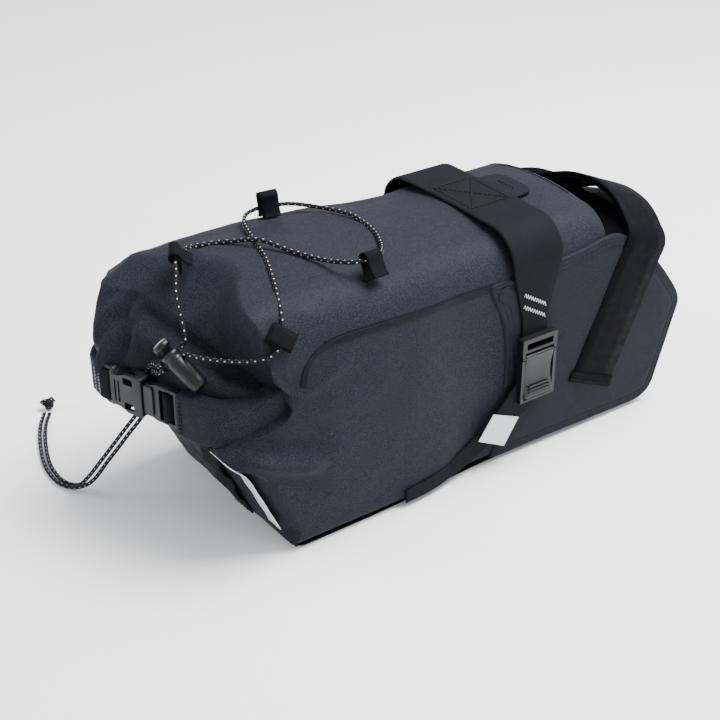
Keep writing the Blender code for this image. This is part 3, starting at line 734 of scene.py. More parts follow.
def make_body():
    stations = [0.0, 0.6, 1.4, 2.4, 3.6]
    while stations[-1] < BASE_LENGTH - 7:
        stations.append(stations[-1] + (1.6 if stations[-1] < 60 else 2.6))
    rows = [[body_point(s, y, z) for y, z in section(s)] for s in stations]
    front = section(BASE_LENGTH)
    for inset, forward in FRONT_EDGE:
        ring = []
        for y, z in front:
            inward = Vector((0, -y, FRONT_MIDDLE - z)).normalized() * inset
            ring.append(Vector((BASE_LENGTH + forward, y + inward.y, z + inward.z)))
        rows.append(ring)
    for share in (0.76, 0.57, 0.38, 0.19, 0.0475):
        rows.append([Vector((BASE_LENGTH, y * share, FRONT_MIDDLE + (z - FRONT_MIDDLE) * share))
                     for y, z in front])
    shares = [1 - i / CAP_ROWS for i in range(1, CAP_ROWS)] + [0.01]
    cap = [[cap_point(p.y, p.z, share) for p in rows[0]] for share in shares]
    rows = cap[::-1] + rows
    points = [p for row in rows for p in row]
    faces = turned_over(loft_faces(len(rows), SECTION_POINTS))
    shell = bpy.data.meshes.new("shape")
    shell.from_pydata([at(*p) for p in points], [], faces)
    normals = [v.normal.copy() for v in shell.vertices]
    moved = []
    for p, n in zip(points, normals):
        out = soft_relief(p) - strap_press(p)
        for start, end, width, depth in FOLDS:
            out -= crease(p, start, end, width, depth)
        if p.z < 12:
            out *= max(0.0, (p.z - 2) / 10)
        if p.x > 120:
            out *= 1 - 0.75 * step((p.x - 120) / 25) * step((140 - p.z) / 12)
        moved.append(at(*p) + n * out * MM)
    bpy.data.meshes.remove(shell)
    made = piece("bag_body", moved, faces, BODY)
    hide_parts("bag_shell", "mouth_throat", "rear_panel")
    return made


body = make_body()
body_tree = BVHTree.FromPolygons([v.co.copy() for v in body.data.vertices],
                                 [tuple(p.vertices) for p in body.data.polygons])


def hugged(places):
    """A smooth line of places (mm) laid on the body: its points and the body's outward directions."""
    on, outs = [], []
    for p in smooth_path([at(*p) for p in places], 2.0 * MM):
        found, normal, _, _ = body_tree.find_nearest(p)
        on.append(found)
        outs.append(normal)
    return on, [sum(outs[max(0, i - 2):i + 3], Vector((0, 0, 0))).normalized() for i in range(len(outs))]


# A stitch: places along it, how far they rise, and their share of its thickness.
STITCH = ((0.0, -0.25, 0.6), (0.2, 0.1, 1.0), (0.5, 0.2, 1.0), (0.8, 0.1, 1.0), (1.0, -0.25, 0.6))
STITCH_GRID = 0.2
STITCH_SIDES = 6


def stitches(name, path, outs, length=2.2, gap=1.0, lift=0.15, radius=0.28, finish=THREAD):
    """A row of thread stitches along a path, as one piece."""
    fine = even(path, STITCH_GRID * MM)
    pitch = round((length + gap) / STITCH_GRID)
    points, faces = [], []
    for start in range(0, len(fine) - pitch, pitch):
        share = start / max(len(fine) - 1, 1)
        out = outs[min(int(share * len(outs)), len(outs) - 1)] if isinstance(outs, list) else outs
        end = fine[min(start + round(length / STITCH_GRID), len(fine) - 1)]
        run = (end - fine[start]).normalized()
        side = run.cross(out).normalized()
        base = len(points)
        for along, rise, wide in STITCH:
            middle = fine[start].lerp(end, along) + out * (lift + rise * 0.6) * MM
            for k in range(STITCH_SIDES):
                turn = 2 * pi * k / STITCH_SIDES
                points.append(middle + (side * cos(turn) + out * sin(turn)) * radius * wide * MM)
        faces += [tuple(base + i for i in f) for f in loft_faces(len(STITCH), STITCH_SIDES)]
    piece(name, points, faces, finish)


SIDE_SEAM = [(150, 63, 126), (120, 66, 128), (90, 69, 130), (60, 70, 132), (34, 70, 132.5), (20, 70.5, 131),
             (12.5, 70.5, 127), (7.5, 71, 119), (5.5, 71, 111)]
REFLECTOR_Y = -56
LIGHT_LOOPS_Y = -33
# The light strip stands off the panel in two loops: height up the panel, and how far off.
LIGHT_LOOPS = [(12, 0), (17, 0), (22, 0.2), (26, 1.5), (29, 2.0), (32, 1.5), (36, 0.2), (39, 0), (42, 0.2),
               (46, 1.5), (49, 2.0), (52, 1.5), (56, 0.2), (61, 0), (65, 0)]


def make_seams():
    """The welded seam along each side, with its turn down to the gathered rear."""
    for side, sign in SIDES:
        line = [(x, sign * y, z) for x, y, z in SIDE_SEAM]
        path, outs = hugged(line)
        band(f"side_weld_{side}", path, outs, 4.6, 0.55, WELD, lift=-0.15)
        path, outs = hugged([(x, y, z + 3.2) for x, y, z in line[:6]])
        band(f"side_weld_edge_{side}", path, outs, 1.3, 0.5, WELD, lift=-0.1)


def make_rear_details():
    slope = REAR_LEAN / REAR_PANEL_HEIGHT
    normal = Vector((-1, 0, -slope)).normalized()

    def on_panel(y, z, lift):
        found = body_tree.ray_cast(at(-slope * z - 40, y, z - 20 * slope), -normal)[0]
        return (found if found else at(-slope * z, y, z)) + normal * lift * MM

    path = [on_panel(REFLECTOR_Y, z, 0.0) for z in range(9, 71, 2)]
    made = band("rear_reflector_tape", path, normal, 18, 0.6, REFLECT, lift=0.25)
    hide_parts("rear_reflector")
    path = smooth_path([on_panel(LIGHT_LOOPS_Y, z, off) for z, off in LIGHT_LOOPS], 1.2 * MM)
    made = band("light_loops", path, normal, 20, 1.3, WEB, lift=0.35)
    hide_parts("light_loop_strip")
    for number, z in enumerate((14.5, 39, 62.5)):
        row = [on_panel(LIGHT_LOOPS_Y + y, z, 1.8) for y in range(-8, 9, 2)]
        stitches(f"light_loop_stitch_{number + 1}", row, normal, finish=DARK_THREAD)


def make_base():
    outline = []
    right = [(2, -67, 6), (80, -66, 30), (140, -60, 30), (244, -60, 5)]
    corners = right + [(x, -y, r) for x, y, r in reversed(right)]
    for i, (x, y, r) in enumerate(corners):
        before, after = Vector(corners[i - 1][:2]), Vector(corners[(i + 1) % len(corners)][:2])
        p = Vector((x, y))
        a = p + (before - p).normalized() * min(r, (before - p).length / 2)
        b = p + (after - p).normalized() * min(r, (after - p).length / 2)
        for k in range(7):
            t = k / 6
            q = a * (1 - t) ** 2 + p * 2 * t * (1 - t) + b * t ** 2
            outline.append((q.x, q.y))
    made = plate("base_skin", outline, 0.0, 1.7, (FORWARD, LEFT, UP), LINING, 0.6)
    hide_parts("base_panel")
    rim = [at(0.5 + 0.8 * abs(y) / 66, y, 3.0) for y in range(-66, 67, 3)]
    band("base_lip", rim, Vector((-1, 0, -0.3)).normalized(), 4.6, 1.6, PANEL, lift=-0.5)


make_seams()
make_rear_details()
make_base()


# ---------------------------------------------------------------- rolled mouth

NEAR_TIP = at(-47.0, -26.5, 92.0)
RUN = Vector((-0.326, 0.9454, 0.0)).normalized()
OUT = UP.cross(RUN)
BUCKLE_AXES = (RUN, UP, OUT)
TIP_TO_TIP = 61.4


def rounded_section(half_thick, half_high, corner, count=6):
    """A rounded rectangle as (thickness, height) places."""
    places = []
    for cx, cy, first in ((1, 1, 0), (-1, 1, 90), (-1, -1, 180), (1, -1, 270)):
        for i in range(count + 1):
            turn = radians(first + 90 * i / count)
            places.append((cx * (half_thick - corner) + corner * cos(turn),
                           cy * (half_high - corner) + corner * sin(turn)))
    return places


def swept_fold(name, stations, finish):
    """A folded band of fabric. Each station is (x, y, middle z, half thickness, half height)."""
    middles = smooth_path([at(*s[:3]) for s in stations], 2.0 * MM)
    count = len(middles)
    rings = []
    for i, p in enumerate(middles):
        share = i / (count - 1) * (len(stations) - 1)
        k = min(int(share), len(stations) - 2)
        t = step(share - k)
        thick = stations[k][3] * (1 - t) + stations[k + 1][3] * t
        high = stations[k][4] * (1 - t) + stations[k + 1][4] * t
        run = middles[min(i + 1, count - 1)] - middles[max(i - 1, 0)]
        out = UP.cross(Vector((run.x, run.y, 0)).normalized())
        ring = []
        for a, b in rounded_section(thick, high, min(thick, high) * 0.85, 7):
            q = p + (out * a + UP * b) * MM
            n = (out * a + UP * b * (thick / high) ** 2).normalized()
            wave = noise.noise(q * 70) * 0.9 + noise.noise(q * 190) * 0.3
            ring.append(q + n * wave * MM)
        rings.append(ring)
    size = len(rings[0])
    for end, beside in ((0, 1), (-1, -2)):
        tip = rings[end]
        middle = sum(tip, Vector((0, 0, 0))) / size
        run = (middles[end] - middles[beside]).normalized()
        closing = [[middle + (p - middle) * k + run * m * MM for p in tip]
                   for k, m in ((0.93, 0.8), (0.75, 1.3), (0.4, 1.4))]
        rings = closing[::-1] + rings if end == 0 else rings + closing
    points = [p for ring in rings for p in ring]
    return piece(name, points, loft_faces(len(rings), size), finish)


NEAR_ARM = [(-47.0, -26.5, 91.6), (-43.6, -36.2, 91.6), (-40.0, -45.0, 91.8), (-34.5, -51.5, 92.2),
            (-26.5, -55.5, 93.0), (-17.0, -58.0, 94.5), (-7.0, -59.5, 96.5), (2.0, -60.0, 98.0)]
SLEEVE_DEPTH = 20  # rings from the tip to the closed end of its hollow


def near_sleeve():
    """The near end of the roll, with a hollow at its tip for the buckle's webbing to slide in."""
    middles = smooth_path([at(*p) for p in NEAR_ARM], 1.5 * MM)
    directions = runs(middles)
    rings = []

    def ring(i, half_thick, half_high, corner, ripple, push=0.0):
        run = Vector((directions[i].x, directions[i].y, 0)).normalized()
        out = UP.cross(-run)
        placed = []
        for a, b in rounded_section(half_thick, half_high, corner, 7):
            q = middles[i] + (out * a + UP * b) * MM - run * push * MM
            wave = (noise.noise(q * 60) * 0.8 + noise.noise(q * 170) * 0.25) * ripple
            placed.append(q + (out * a / half_thick + UP * b / half_high * 0.4).normalized() * wave * MM)
        return placed

    for i in range(len(middles) - 1, 0, -1):
        rings.append(ring(i, 5.6, 14.0, 3.6, min(1.0, i / 8)))
    rings.append(ring(0, 5.5, 13.9, 3.4, 0.1))
    rings.append(ring(0, 5.0, 13.5, 2.8, 0.0, 0.45))
    rings.append(ring(0, 4.4, 13.0, 2.2, 0.0, 0.3))
    for i in range(SLEEVE_DEPTH):
        rings.append(ring(i, 4.1, 12.8, 1.8, 0.0))
    points = [p for one in rings for p in one]
    piece("roll_near_sleeve", points, loft_faces(len(rings), len(rings[0])), BODY)
    for number, u in enumerate((-2.6, -4.0)):
        row = [NEAR_TIP + RUN * u * MM + UP * w * MM + OUT * 5.7 * MM for w in range(-11, 12)]
        stitches(f"sleeve_stitch_{number + 1}", row, OUT, finish=DARK_THREAD, length=1.6, gap=0.8)


# The roll from its far tip to its near bend: x, y, middle z, half thickness, half height.
ROLL = [(-66.0, 32.6, 92.5, 3.2, 12.0), (-65.5, 41.0, 93.0, 3.8, 13.0), (-59.5, 48.5, 93.5, 4.2, 12.5),
        (-50.5, 50.5, 94.0, 4.6, 12.0), (-46.2, 44.5, 95.0, 4.8, 11.5), (-45.0, 32.0, 96.0, 5.0, 11.5),
        (-44.4, 18.0, 98.0, 5.4, 12.0), (-43.6, 0.0, 100.0, 6.0, 13.5), (-40.5, -16.0, 101.5, 7.0, 14.5),
        (-33.5, -31.0, 101.0, 7.6, 14.5), (-24.0, -45.0, 98.5, 7.4, 13.5), (-12.0, -55.0, 97.0, 6.6, 12.0)]


def make_roll():
    made = swept_fold("roll_main", ROLL, BODY)
    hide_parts("rolled_mouth", "mouth_stiffener")
    near_sleeve()
    tip = NEAR_TIP + RUN * TIP_TO_TIP * MM
    row = [tip + (RUN * 3.4 + UP * w + OUT * 2.4) * MM for w in range(-10, 11)]
    stitches("far_arm_stitch", row, OUT, length=1.5, gap=0.9, lift=0.1, radius=0.24)


make_roll()


# ---------------------------------------------------------------- closure buckle

def buckle_point(u, w, v):
    return NEAR_TIP + (RUN * u + UP * w + OUT * v) * MM


def buckle_plate(name, outline, half, body_name, edge):
    """A plate of the closure buckle, `half` mm thick each way, in its (u, w) plane."""
    return plate(name, outline, -half, half, BUCKLE_AXES, PLASTIC, edge, body_name, NEAR_TIP)


def mirrored(outline):
    """An outline from the places on its upper half."""
    return outline + [(u, -w) for u, w in reversed(outline)]


def window(u0, u1, w0, w1, v0=-9.0, v1=9.0):
    return ((u0, w0, v0), (u1, w1, v1), BUCKLE_AXES, NEAR_TIP)


# The webbing of each half, wound round its bars: along the buckle and out of it.
MALE_WEB = [(-11.5, -0.4), (-4.0, -0.4), (1.0, -0.9), (4.2, -3.0), (6.2, -0.6), (8.0, 2.6), (9.8, 3.2),
            (11.6, 2.6), (13.4, 0.0), (12.6, -3.0), (9.6, -3.6), (4.4, -4.0)]
FEMALE_WEB = [(63.5, 1.6), (60.0, 3.0), (56.6, 3.4), (53.6, 3.0), (52.6, 0.6)]
FEMALE_WEB += [(u, -v) for u, v in reversed(FEMALE_WEB)]


def make_closure_buckle():
    shell = [(27.0, 11.6), (28.2, 12.8), (33.0, 13.0), (38.5, 12.6), (42.0, 11.2), (45.0, 10.2), (48.0, 10.2),
             (50.5, 11.0), (51.0, 11.4)]
    female = settle(buckle_plate("buckle_female", mirrored(shell), 4.5, "bag", 0.9))
    cut(female, [window(26.0, 41.5, -10.9, 10.9, -2.5, 2.5), window(33.0, 40.0, -20, 20, -1.9, 1.9),
                 window(33.4, 40.6, 6.0, 10.4), window(33.4, 40.6, -10.4, -6.0),
                 window(43.6, 45.0, -7.0, 7.0, 3.9, 9.0), window(46.4, 47.8, -7.0, 7.0, 3.9, 9.0)])
    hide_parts("closure_buckle_female")
    tail = [(49.6, 11.2), (51.6, 12.6), (56.2, 12.9), (57.5, 12.0)]
    end = settle(buckle_plate("buckle_female_bar", mirrored(tail), 2.2, "bag", 0.8))
    cut(end, [window(51.4, 54.9, -10.6, 10.6)])
    male = [(1.5, 11.2), (2.6, 12.0), (17.0, 12.0), (20.5, 11.0), (23.0, 10.2), (26.4, 10.2)]
    male = settle(buckle_plate("buckle_male", mirrored(male), 2.2, "closure_male", 0.7))
    cut(male, [window(4.2, 8.4, -10.0, 10.0), window(11.2, 15.4, -10.0, 10.0)])
    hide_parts("closure_buckle_male")
    shoulder = [(19.5, 8.6), (20.6, 9.6), (25.8, 9.6), (26.6, 8.8)]
    buckle_plate("buckle_male_shoulder", mirrored(shoulder), 3.4, "closure_male", 0.8)
    prong = [(25.5, 6.2), (33.5, 6.2), (36.5, 5.8), (38.4, 7.2), (36.4, 10.2), (33.8, 10.3), (33.4, 9.2),
             (25.5, 9.4)]
    for name, sign in (("upper", 1), ("lower", -1)):
        buckle_plate(f"buckle_prong_{name}", [(u, sign * w) for u, w in prong], 1.6, "closure_male", 0.4)
    guide = [(25.5, -1.5), (37.5, -1.3), (38.4, 0.0), (37.5, 1.3), (25.5, 1.5)]
    buckle_plate("buckle_guide", guide, 1.4, "closure_male", 0.4)
    for half, web, width, body_name in (("male", MALE_WEB, 19.0, "closure_male"),
                                        ("female", FEMALE_WEB, 20.0, "bag")):
        path = smooth_path([buckle_point(u, 0, v) for u, v in web], 0.7 * MM)
        outs = [-UP.cross(d) for d in runs(path)]
        made = band(f"{half}_webbing", path, outs, width, 0.9, WEB, body_name, lift=-0.45)
        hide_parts(f"closure_web_{half}")
    row = [buckle_point(60.4, w, 3.9) for w in range(-9, 10)]
    stitches("female_web_stitch", row, OUT, length=1.4, gap=0.7, lift=0.1)


make_closure_buckle()


# ---------------------------------------------------------------- wings

WING_OUTLINE = [(142, 129), (160, 93), (158, 30), (150, 4), (282, 2), (293, 8), (309, 60), (312, 69),
                (309, 78), (288, 106), (257, 132), (244, 137), (210, 131)]
WING_ROUNDING = [7, 30, 30, 3, 8, 8, 8, 8, 8, 24, 12, 14, 30]
WING_MIDDLE = (228.0, 68.0)


def rounded_outline(corners, rounding, spacing):
    """A closed outline with its corners rounded, as evenly spaced places."""
    line = []
    count = len(corners)
    for i, (x, z) in enumerate(corners):
        p = Vector((x, z, 0))
        before = Vector((*corners[i - 1], 0))
        after = Vector((*corners[(i + 1) % count], 0))
        a = p + (before - p).normalized() * min(rounding[i], (before - p).length * 0.48)
        b = p + (after - p).normalized() * min(rounding[i], (after - p).length * 0.48)
        for k in range(9):
            t = k / 8
            line.append(a * (1 - t) ** 2 + p * 2 * t * (1 - t) + b * t ** 2)
    line.append(line[0].copy())
    places = even([p * MM for p in line], spacing * MM)[:-1]
    return [(p.x / MM, p.y / MM) for p in places]


def inward_directions(outline):
    count = len(outline)
    area = sum(a[0] * b[1] - b[0] * a[1] for a, b in zip(outline, outline[1:] + outline[:1]))
    sign = 1 if area > 0 else -1
    found = []
    for i in range(count):
        before, after = Vector(outline[i - 3]), Vector(outline[(i + 3) % count])
        run = (after - before).normalized()
        found.append(Vector((-run.y, run.x)) * sign)
    return found


# Depth of the wing's outer face below its outside, by distance in from its edge.
WING_FACE = [(0.0, 2.4), (0.15, 1.5), (0.6, 0.7), (1.3, 0.32), (3.0, 0.2), (3.5, 0.42), (4.1, 0.42),
             (4.6, 0.18), (6.2, 0.16), (6.7, 0.38), (7.3, 0.38), (7.9, 0.12), (9.5, 0.02), (12.0, 0.0)]
WING_THICK = 7.2
WING_BACK = [(0.15, 3.3), (0.8, 3.9), (2.0, 4.1), (6.0, WING_THICK - 2.3)]
FLAT_DEPTH = 0.4  # the face waves only where it lies higher than this


def make_wing(side, sign):
    outline = rounded_outline(WING_OUTLINE, WING_ROUNDING, 1.6)
    inward = inward_directions(outline)
    middle = Vector(WING_MIDDLE)

    def inset_ring(inset, depth):
        return [(Vector(p) + n * inset, depth) for p, n in zip(outline, inward)]

    def shrunk(ring, shares, depth):
        return [[(middle + (q - middle) * share, depth) for q, _ in ring] for share in shares]

    face = [inset_ring(*level) for level in WING_FACE]
    face += shrunk(face[-1], (0.92, 0.82, 0.7, 0.58, 0.46, 0.34, 0.22, 0.1, 0.02), 0.0)
    back = [inset_ring(*level) for level in WING_BACK]
    back += shrunk(back[-1], (0.9, 0.6, 0.3, 0.02), WING_THICK)
    rings = face[::-1] + back
    points = []
    for q, depth in (place for ring in rings for place in ring):
        wave = noise.noise(Vector((q.x, WING_OUTSIDE, q.y)) * 0.03 + Vector((sign, 4.0, 2.0))) * 0.5
        wave *= step((FLAT_DEPTH - depth) / FLAT_DEPTH)
        points.append(at(q.x, sign * (WING_OUTSIDE - depth - 0.3 + wave), q.y))
    faces = loft_faces(len(rings), len(outline))
    made = piece(f"wing_{side}", points, turned_over(faces) if sign > 0 else faces, PANEL)
    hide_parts(f"wing_outer_{side}", f"wing_inner_{side}", f"wing_stiffener_{side}")
    top_edge = [at(x - 1.0, sign * (WING_OUTSIDE - 0.6), z - 5.4) for x, z in outline if x > 214 and z > 96]
    stitches(f"wing_stitch_{side}", top_edge, LEFT * sign, finish=DARK_THREAD, length=2.6, gap=1.4)


for side_name, side_sign in SIDES:
    make_wing(side_name, side_sign)


# ---------------------------------------------------------------- straps

STRAP_TOP = 156.0
BARTACK_SLOPE = -0.62


def arc_places(half, top, radius, levels):
    """A strap's section over the bag as (y, z): up the right side, over the top and down the left."""
    right = [(-half, z) for z in levels]
    for i in range(1, 12):
        turn = radians(180 - 90 * i / 12)
        right.append((-half + radius + radius * cos(turn), top - radius + radius * sin(turn)))
    right += [(-half + radius + 4, top), (-16.0, top + 0.5)]
    return right + [(0.0, top + 0.6)] + [(-y, z) for y, z in reversed(right)]


def make_compression_strap():
    section_line = arc_places(WING_OUTSIDE + 0.3, STRAP_TOP, 22.0, (60, 80, 96, 106, 114, 122, 130))
    path = smooth_path([at(STRAP_X, y, z) for y, z in section_line], 2.0 * MM)
    middle = at(STRAP_X, 0, 95)
    outs = []
    for p, d in zip(path, runs(path)):
        out = FORWARD.cross(d)
        outs.append(out if out.dot(p - middle) > 0 else -out)
    widths = [20 + 20 * step((p.z / MM - 90) / 52) for p in path]
    made = band("compression_web", path, outs, widths, 1.4, WEB)
    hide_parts("compression_strap")
    box = [(-15, -19), (15, -19), (15, 19), (-15, 19), (-15, -19)]
    for number, line in enumerate((box, [box[0], box[2]], [box[3], box[1]])):
        row = even([at(STRAP_X + a, b, STRAP_TOP + 2.15) for a, b in line], 1.0 * MM)
        stitches(f"box_stitch_{number + 1}", row, UP, finish=DARK_THREAD, length=2.2, gap=0.9)
    for side, sign in SIDES:
        for number, z in enumerate((103.5, 111.5)):
            row = []
            for k in range(19):
                zig = 1.1 if k % 2 else -1.1
                height = z + zig + BARTACK_SLOPE * (k - 9)
                row.append(at(STRAP_X - 11 + k, sign * (WING_OUTSIDE + 1.95), height))
            tube(f"bartack_{side}_{number + 1}", row, 0.42, THREAD, sides=8)


def make_tongue():
    """The patch that anchors the strap in front of it, welded on the top."""
    near = [(197, -19), (211, -18), (216, -15.5), (218, -8)]
    outline = rounded_outline(near + [(x, -y) for x, y in reversed(near)], [2] + [5] * 6 + [2], 1.5)
    made = plate("strap_tongue", outline, 155.4, 156.9, (FORWARD, LEFT, UP), WELD, 0.4)
    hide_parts("strap_anchor_patch")
    row = [at(208, y, 157.0) for y in range(-8, 9)]
    stitches("tongue_stitch", row, UP, finish=DARK_THREAD, length=2.2, gap=0.9)


# The lower strap from the cam buckle back along the side, its doubled end, and the tab on that.
LOWER_STRAP = [(184, 60), (181, 50), (173, 41), (158, 31), (142, 22), (128, 15), (114, 10.5), (98, 8.5),
               (78, 8)]
STRAP_TAIL = [(180, 56), (173.6, 51), (163, 40), (152.5, 29)]
REFLECTOR_CORNERS = [(146.7, 41.3), (167.8, 32.1), (156.6, 14.5), (135.5, 25.5)]


def side_out(x):
    return max(body_half_width(x) + 0.2, WING_OUTSIDE)


def side_band(name, places, sign, lift, thick, first_width, last_width):
    path = smooth_path([at(x, sign * (side_out(x) + 0.3 + lift), z) for x, z in places], 2 * MM)
    last = len(path) - 1
    widths = [first_width + (last_width - first_width) * step(i / last) for i in range(last + 1)]
    return band(name, path, LEFT * sign, widths, thick, WEB)


def make_lower_straps():
    for side, sign in SIDES:
        made = side_band(f"lower_web_{side}", LOWER_STRAP, sign, 0.0, 1.3, 19.0, 9.0)
        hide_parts(f"lower_strap_{side}")
        made = side_band(f"lower_tail_{side}", STRAP_TAIL, sign, 2.6, 1.2, 19.5, 19.5)
        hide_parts(f"strap_tail_{side}")
        high = side_out(150) + 4.9
        made = plate(f"tail_reflector_{side}", REFLECTOR_CORNERS, high - 0.7, high,
                     (FORWARD, UP, LEFT * sign), REFLECT, 0.2)
        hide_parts(f"strap_reflector_{side}")


RAIL_LEAN = radians(24.0)
RAIL_FOOT = (234.0, 36.0)


def rail_point(y, t):
    return at(RAIL_FOOT[0] + sin(RAIL_LEAN) * t, y, RAIL_FOOT[1] + cos(RAIL_LEAN) * t)


# The rail strap's inner face in its tilted plane: places across the bag and up from its foot.
RAIL_SECTION = [
    (-65.4, 0.0), (-65.4, 24.0), (-65.4, 48.0), (-65.4, 70.0), (-65.4, 86.0), (-65.5, 96.0),
    (-62.3, 102.5), (-56.5, 107.0), (-47.0, 113.5), (-35.0, 118.5), (-18.0, 120.8), (0.0, 118.5),
    (17.0, 112.5), (29.0, 107.0), (40.0, 104.5), (51.0, 104.5), (59.0, 104.0), (64.0, 101.0),
    (65.5, 96.0), (65.4, 86.0), (65.4, 60.0), (65.4, 30.0), (65.4, 0.0),
]


def make_rail_strap():
    forward = Vector((cos(RAIL_LEAN), 0, -sin(RAIL_LEAN)))
    path = smooth_path([rail_point(y, t) for y, t in RAIL_SECTION], 2.0 * MM)
    outs = [d.cross(forward) for d in runs(path)]
    made = band("rail_lining", path, outs, 37.5, 2.4, LINING, ridge=0.4)
    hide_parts("rail_strap_lining")
    made = band("rail_web", path, outs, 36.0, 1.5, RAIL_WEB, lift=2.9)
    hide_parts("rail_strap")
    for side, sign in SIDES:
        outward = LEFT * sign
        foot = [rail_point(sign * (WING_OUTSIDE + 0.1), t) for t in (-4.5, -2, 0.5, 3)]
        band(f"rail_foot_patch_{side}", foot, outward, 41, 1.0, LINING)
        row = [rail_point(sign * (WING_OUTSIDE + 1.2), -2.6) + forward * a * MM for a in range(-18, 19)]
        stitches(f"rail_foot_stitch_{side}", row, outward, finish=DARK_THREAD, length=1.8, gap=0.9)


# Webbing folded between the wings: route, way out of its face, width.
GAP_WEBS = {
    "upper": ([(252, -57, 126), (258, -44, 131), (264, -26, 132), (268, -4, 129), (270, 18, 131),
               (266, 40, 131), (256, 56, 127)], (-0.5, 0, 1), 24),
    "lower": ([(268, -58, 112), (278, -44, 121), (290, -22, 127), (295, 0, 128), (290, 22, 124),
               (280, 44, 117), (268, 58, 110)], (0.2, 0, 1), 22),
}


def make_gap_webbing():
    """Folded webbing between the wings under the rail strap, with its bar tack."""
    for name, (places, out, width) in GAP_WEBS.items():
        path = smooth_path([at(*p) for p in places], 2 * MM)
        band(f"gap_web_{name}", path, Vector(out).normalized(), width, 1.4, RAIL_WEB)
    row = [at(296 + (0.8 if k % 2 else -0.8), -4 + k * 0.9, 130.0) for k in range(12)]
    tube("gap_bartack", row, 0.4, THREAD, sides=8)


def make_post_strap():
    """A loop forward of the front face, round the seat post."""
    places = [(245.5, -27), (254, -26.5), (262, -25)]
    bend = [(266 + 20 * cos(t), 24 * sin(t)) for t in (radians(-90 + 180 * i / 14) for i in range(15))]
    places += bend + [(x, -y) for x, y in reversed(places)]
    path = smooth_path([at(x, y, 88) for x, y in places], 2 * MM)
    middle = at(255, 0, 88)
    outs = [Vector((p.x - middle.x, p.y, 0)).normalized() for p in path]
    made = band("post_web", path, outs, 38, 1.4, WEB)
    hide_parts("seatpost_strap")


PAD_LOW, PAD_HIGH = 18.0, 122.0
PAD_HALF = 19.0
PAD_RIB = 8.0


def make_post_pad():
    """A pad on the front face, ribbed across where it meets the seat post."""
    rows = []
    for i in range(61):
        z = PAD_LOW + (PAD_HIGH - PAD_LOW) * i / 60
        ends = min(1.0, min(z - PAD_LOW + 1.0, PAD_HIGH + 1.0 - z) / 4)
        rib = 0.8 * abs(sin((z - PAD_LOW) * pi / PAD_RIB))
        ring = []
        for k in range(25):
            y = PAD_HALF * (k / 12 - 1)
            sides = min(1.0, (PAD_HALF + 0.6 - abs(y)) / 3)
            ring.append(at(BASE_LENGTH + 0.4 + (3.4 + rib) * sqrt(max(0.0, ends * sides)), y, z))
        ring += [at(BASE_LENGTH + 0.1, y, z) for y in (18.6, 6, -6, -18.6)]
        rows.append(ring)
    points = [p for ring in rows for p in ring]
    made = piece("post_pad", points, loft_faces(len(rows), len(rows[0])), FOAM)
    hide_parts("seatpost_pad")


make_compression_strap()
make_tongue()
make_lower_straps()
make_rail_strap()
make_gap_webbing()
make_post_strap()
make_post_pad()


# ---------------------------------------------------------------- cam buckles

PIN_OUT = 71.2
PIN_Z = 75.0


def show(node_name, material):
    """A CAD node that stays in view, in its material."""
    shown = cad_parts[node_name]
    shown.data.materials.clear()
    shown.data.materials.append(material)
    return shown


def make_cam_buckles():
    """The frames stay as they are with rounded edges; each lever is a curved moulding."""
    for side, sign in SIDES:
        soften(show(f"cam_buckle_frame_{side}", PLASTIC), 0.45)
        show(f"cam_pin_{side}", PLASTIC)
        profile = []
        for i in range(19):
            share = i / 18
            z = 46.0 + 29.0 * share
            outer = PIN_OUT + 1.5 - 1.3 * sin(pi * share) ** 1.2 + 0.9 * (1 - share) ** 3
            profile.append((outer, z))
        for i in range(1, 8):
            turn = radians(80 * i / 7)
            profile.append((PIN_OUT + 1.85 * cos(turn), PIN_Z + 1.85 * sin(turn)))
        profile += [(PIN_OUT - 1.0, PIN_Z + 1.2), (PIN_OUT - 1.75, PIN_Z), (PIN_OUT - 1.9, 66.0),
                    (PIN_OUT - 1.9, 52.0), (PIN_OUT - 1.2, 46.2)]
        rings = []
        for x in (168.9, 169.2, 170.0, 174, 180, 186, 190.0, 190.8, 191.1):
            tight = 0.35 if x < 169.1 or x > 190.9 else (0.1 if x < 169.9 or x > 190.1 else 0.0)
            ring = []
            for out, z in profile:
                drawn_in = tight if out > PIN_OUT else -tight
                raised = tight if z < 50 else 0.0
                ring.append(at(x, sign * (out - drawn_in), z + raised))
            rings.append(ring)
        faces = loft_faces(len(rings), len(profile))
        if sign < 0:
            faces = turned_over(faces)
        points = [p for ring in rings for p in ring]
        made = piece(f"lever_{side}_moulding", points, faces, PLASTIC, f"lever_{side}")
        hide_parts(f"cam_lever_{side}")
        for number, z in enumerate((49.5, 51.7, 53.9)):
            rib = [at(x, sign * (PIN_OUT + 1.9), z) for x in (171.5, 175, 180, 185, 188.5)]
            tube(f"lever_{side}_grip_{number + 1}", smooth_path(rib, 1.5 * MM), 0.55, PLASTIC,
                 f"lever_{side}", sides=8)


make_cam_buckles()


# ---------------------------------------------------------------- cord lock and loops

LOCK_CENTRE = at(-44.0, -27.5, 118.0)
LOCK_RUN = Vector((0.36, -0.70, -0.62)).normalized()
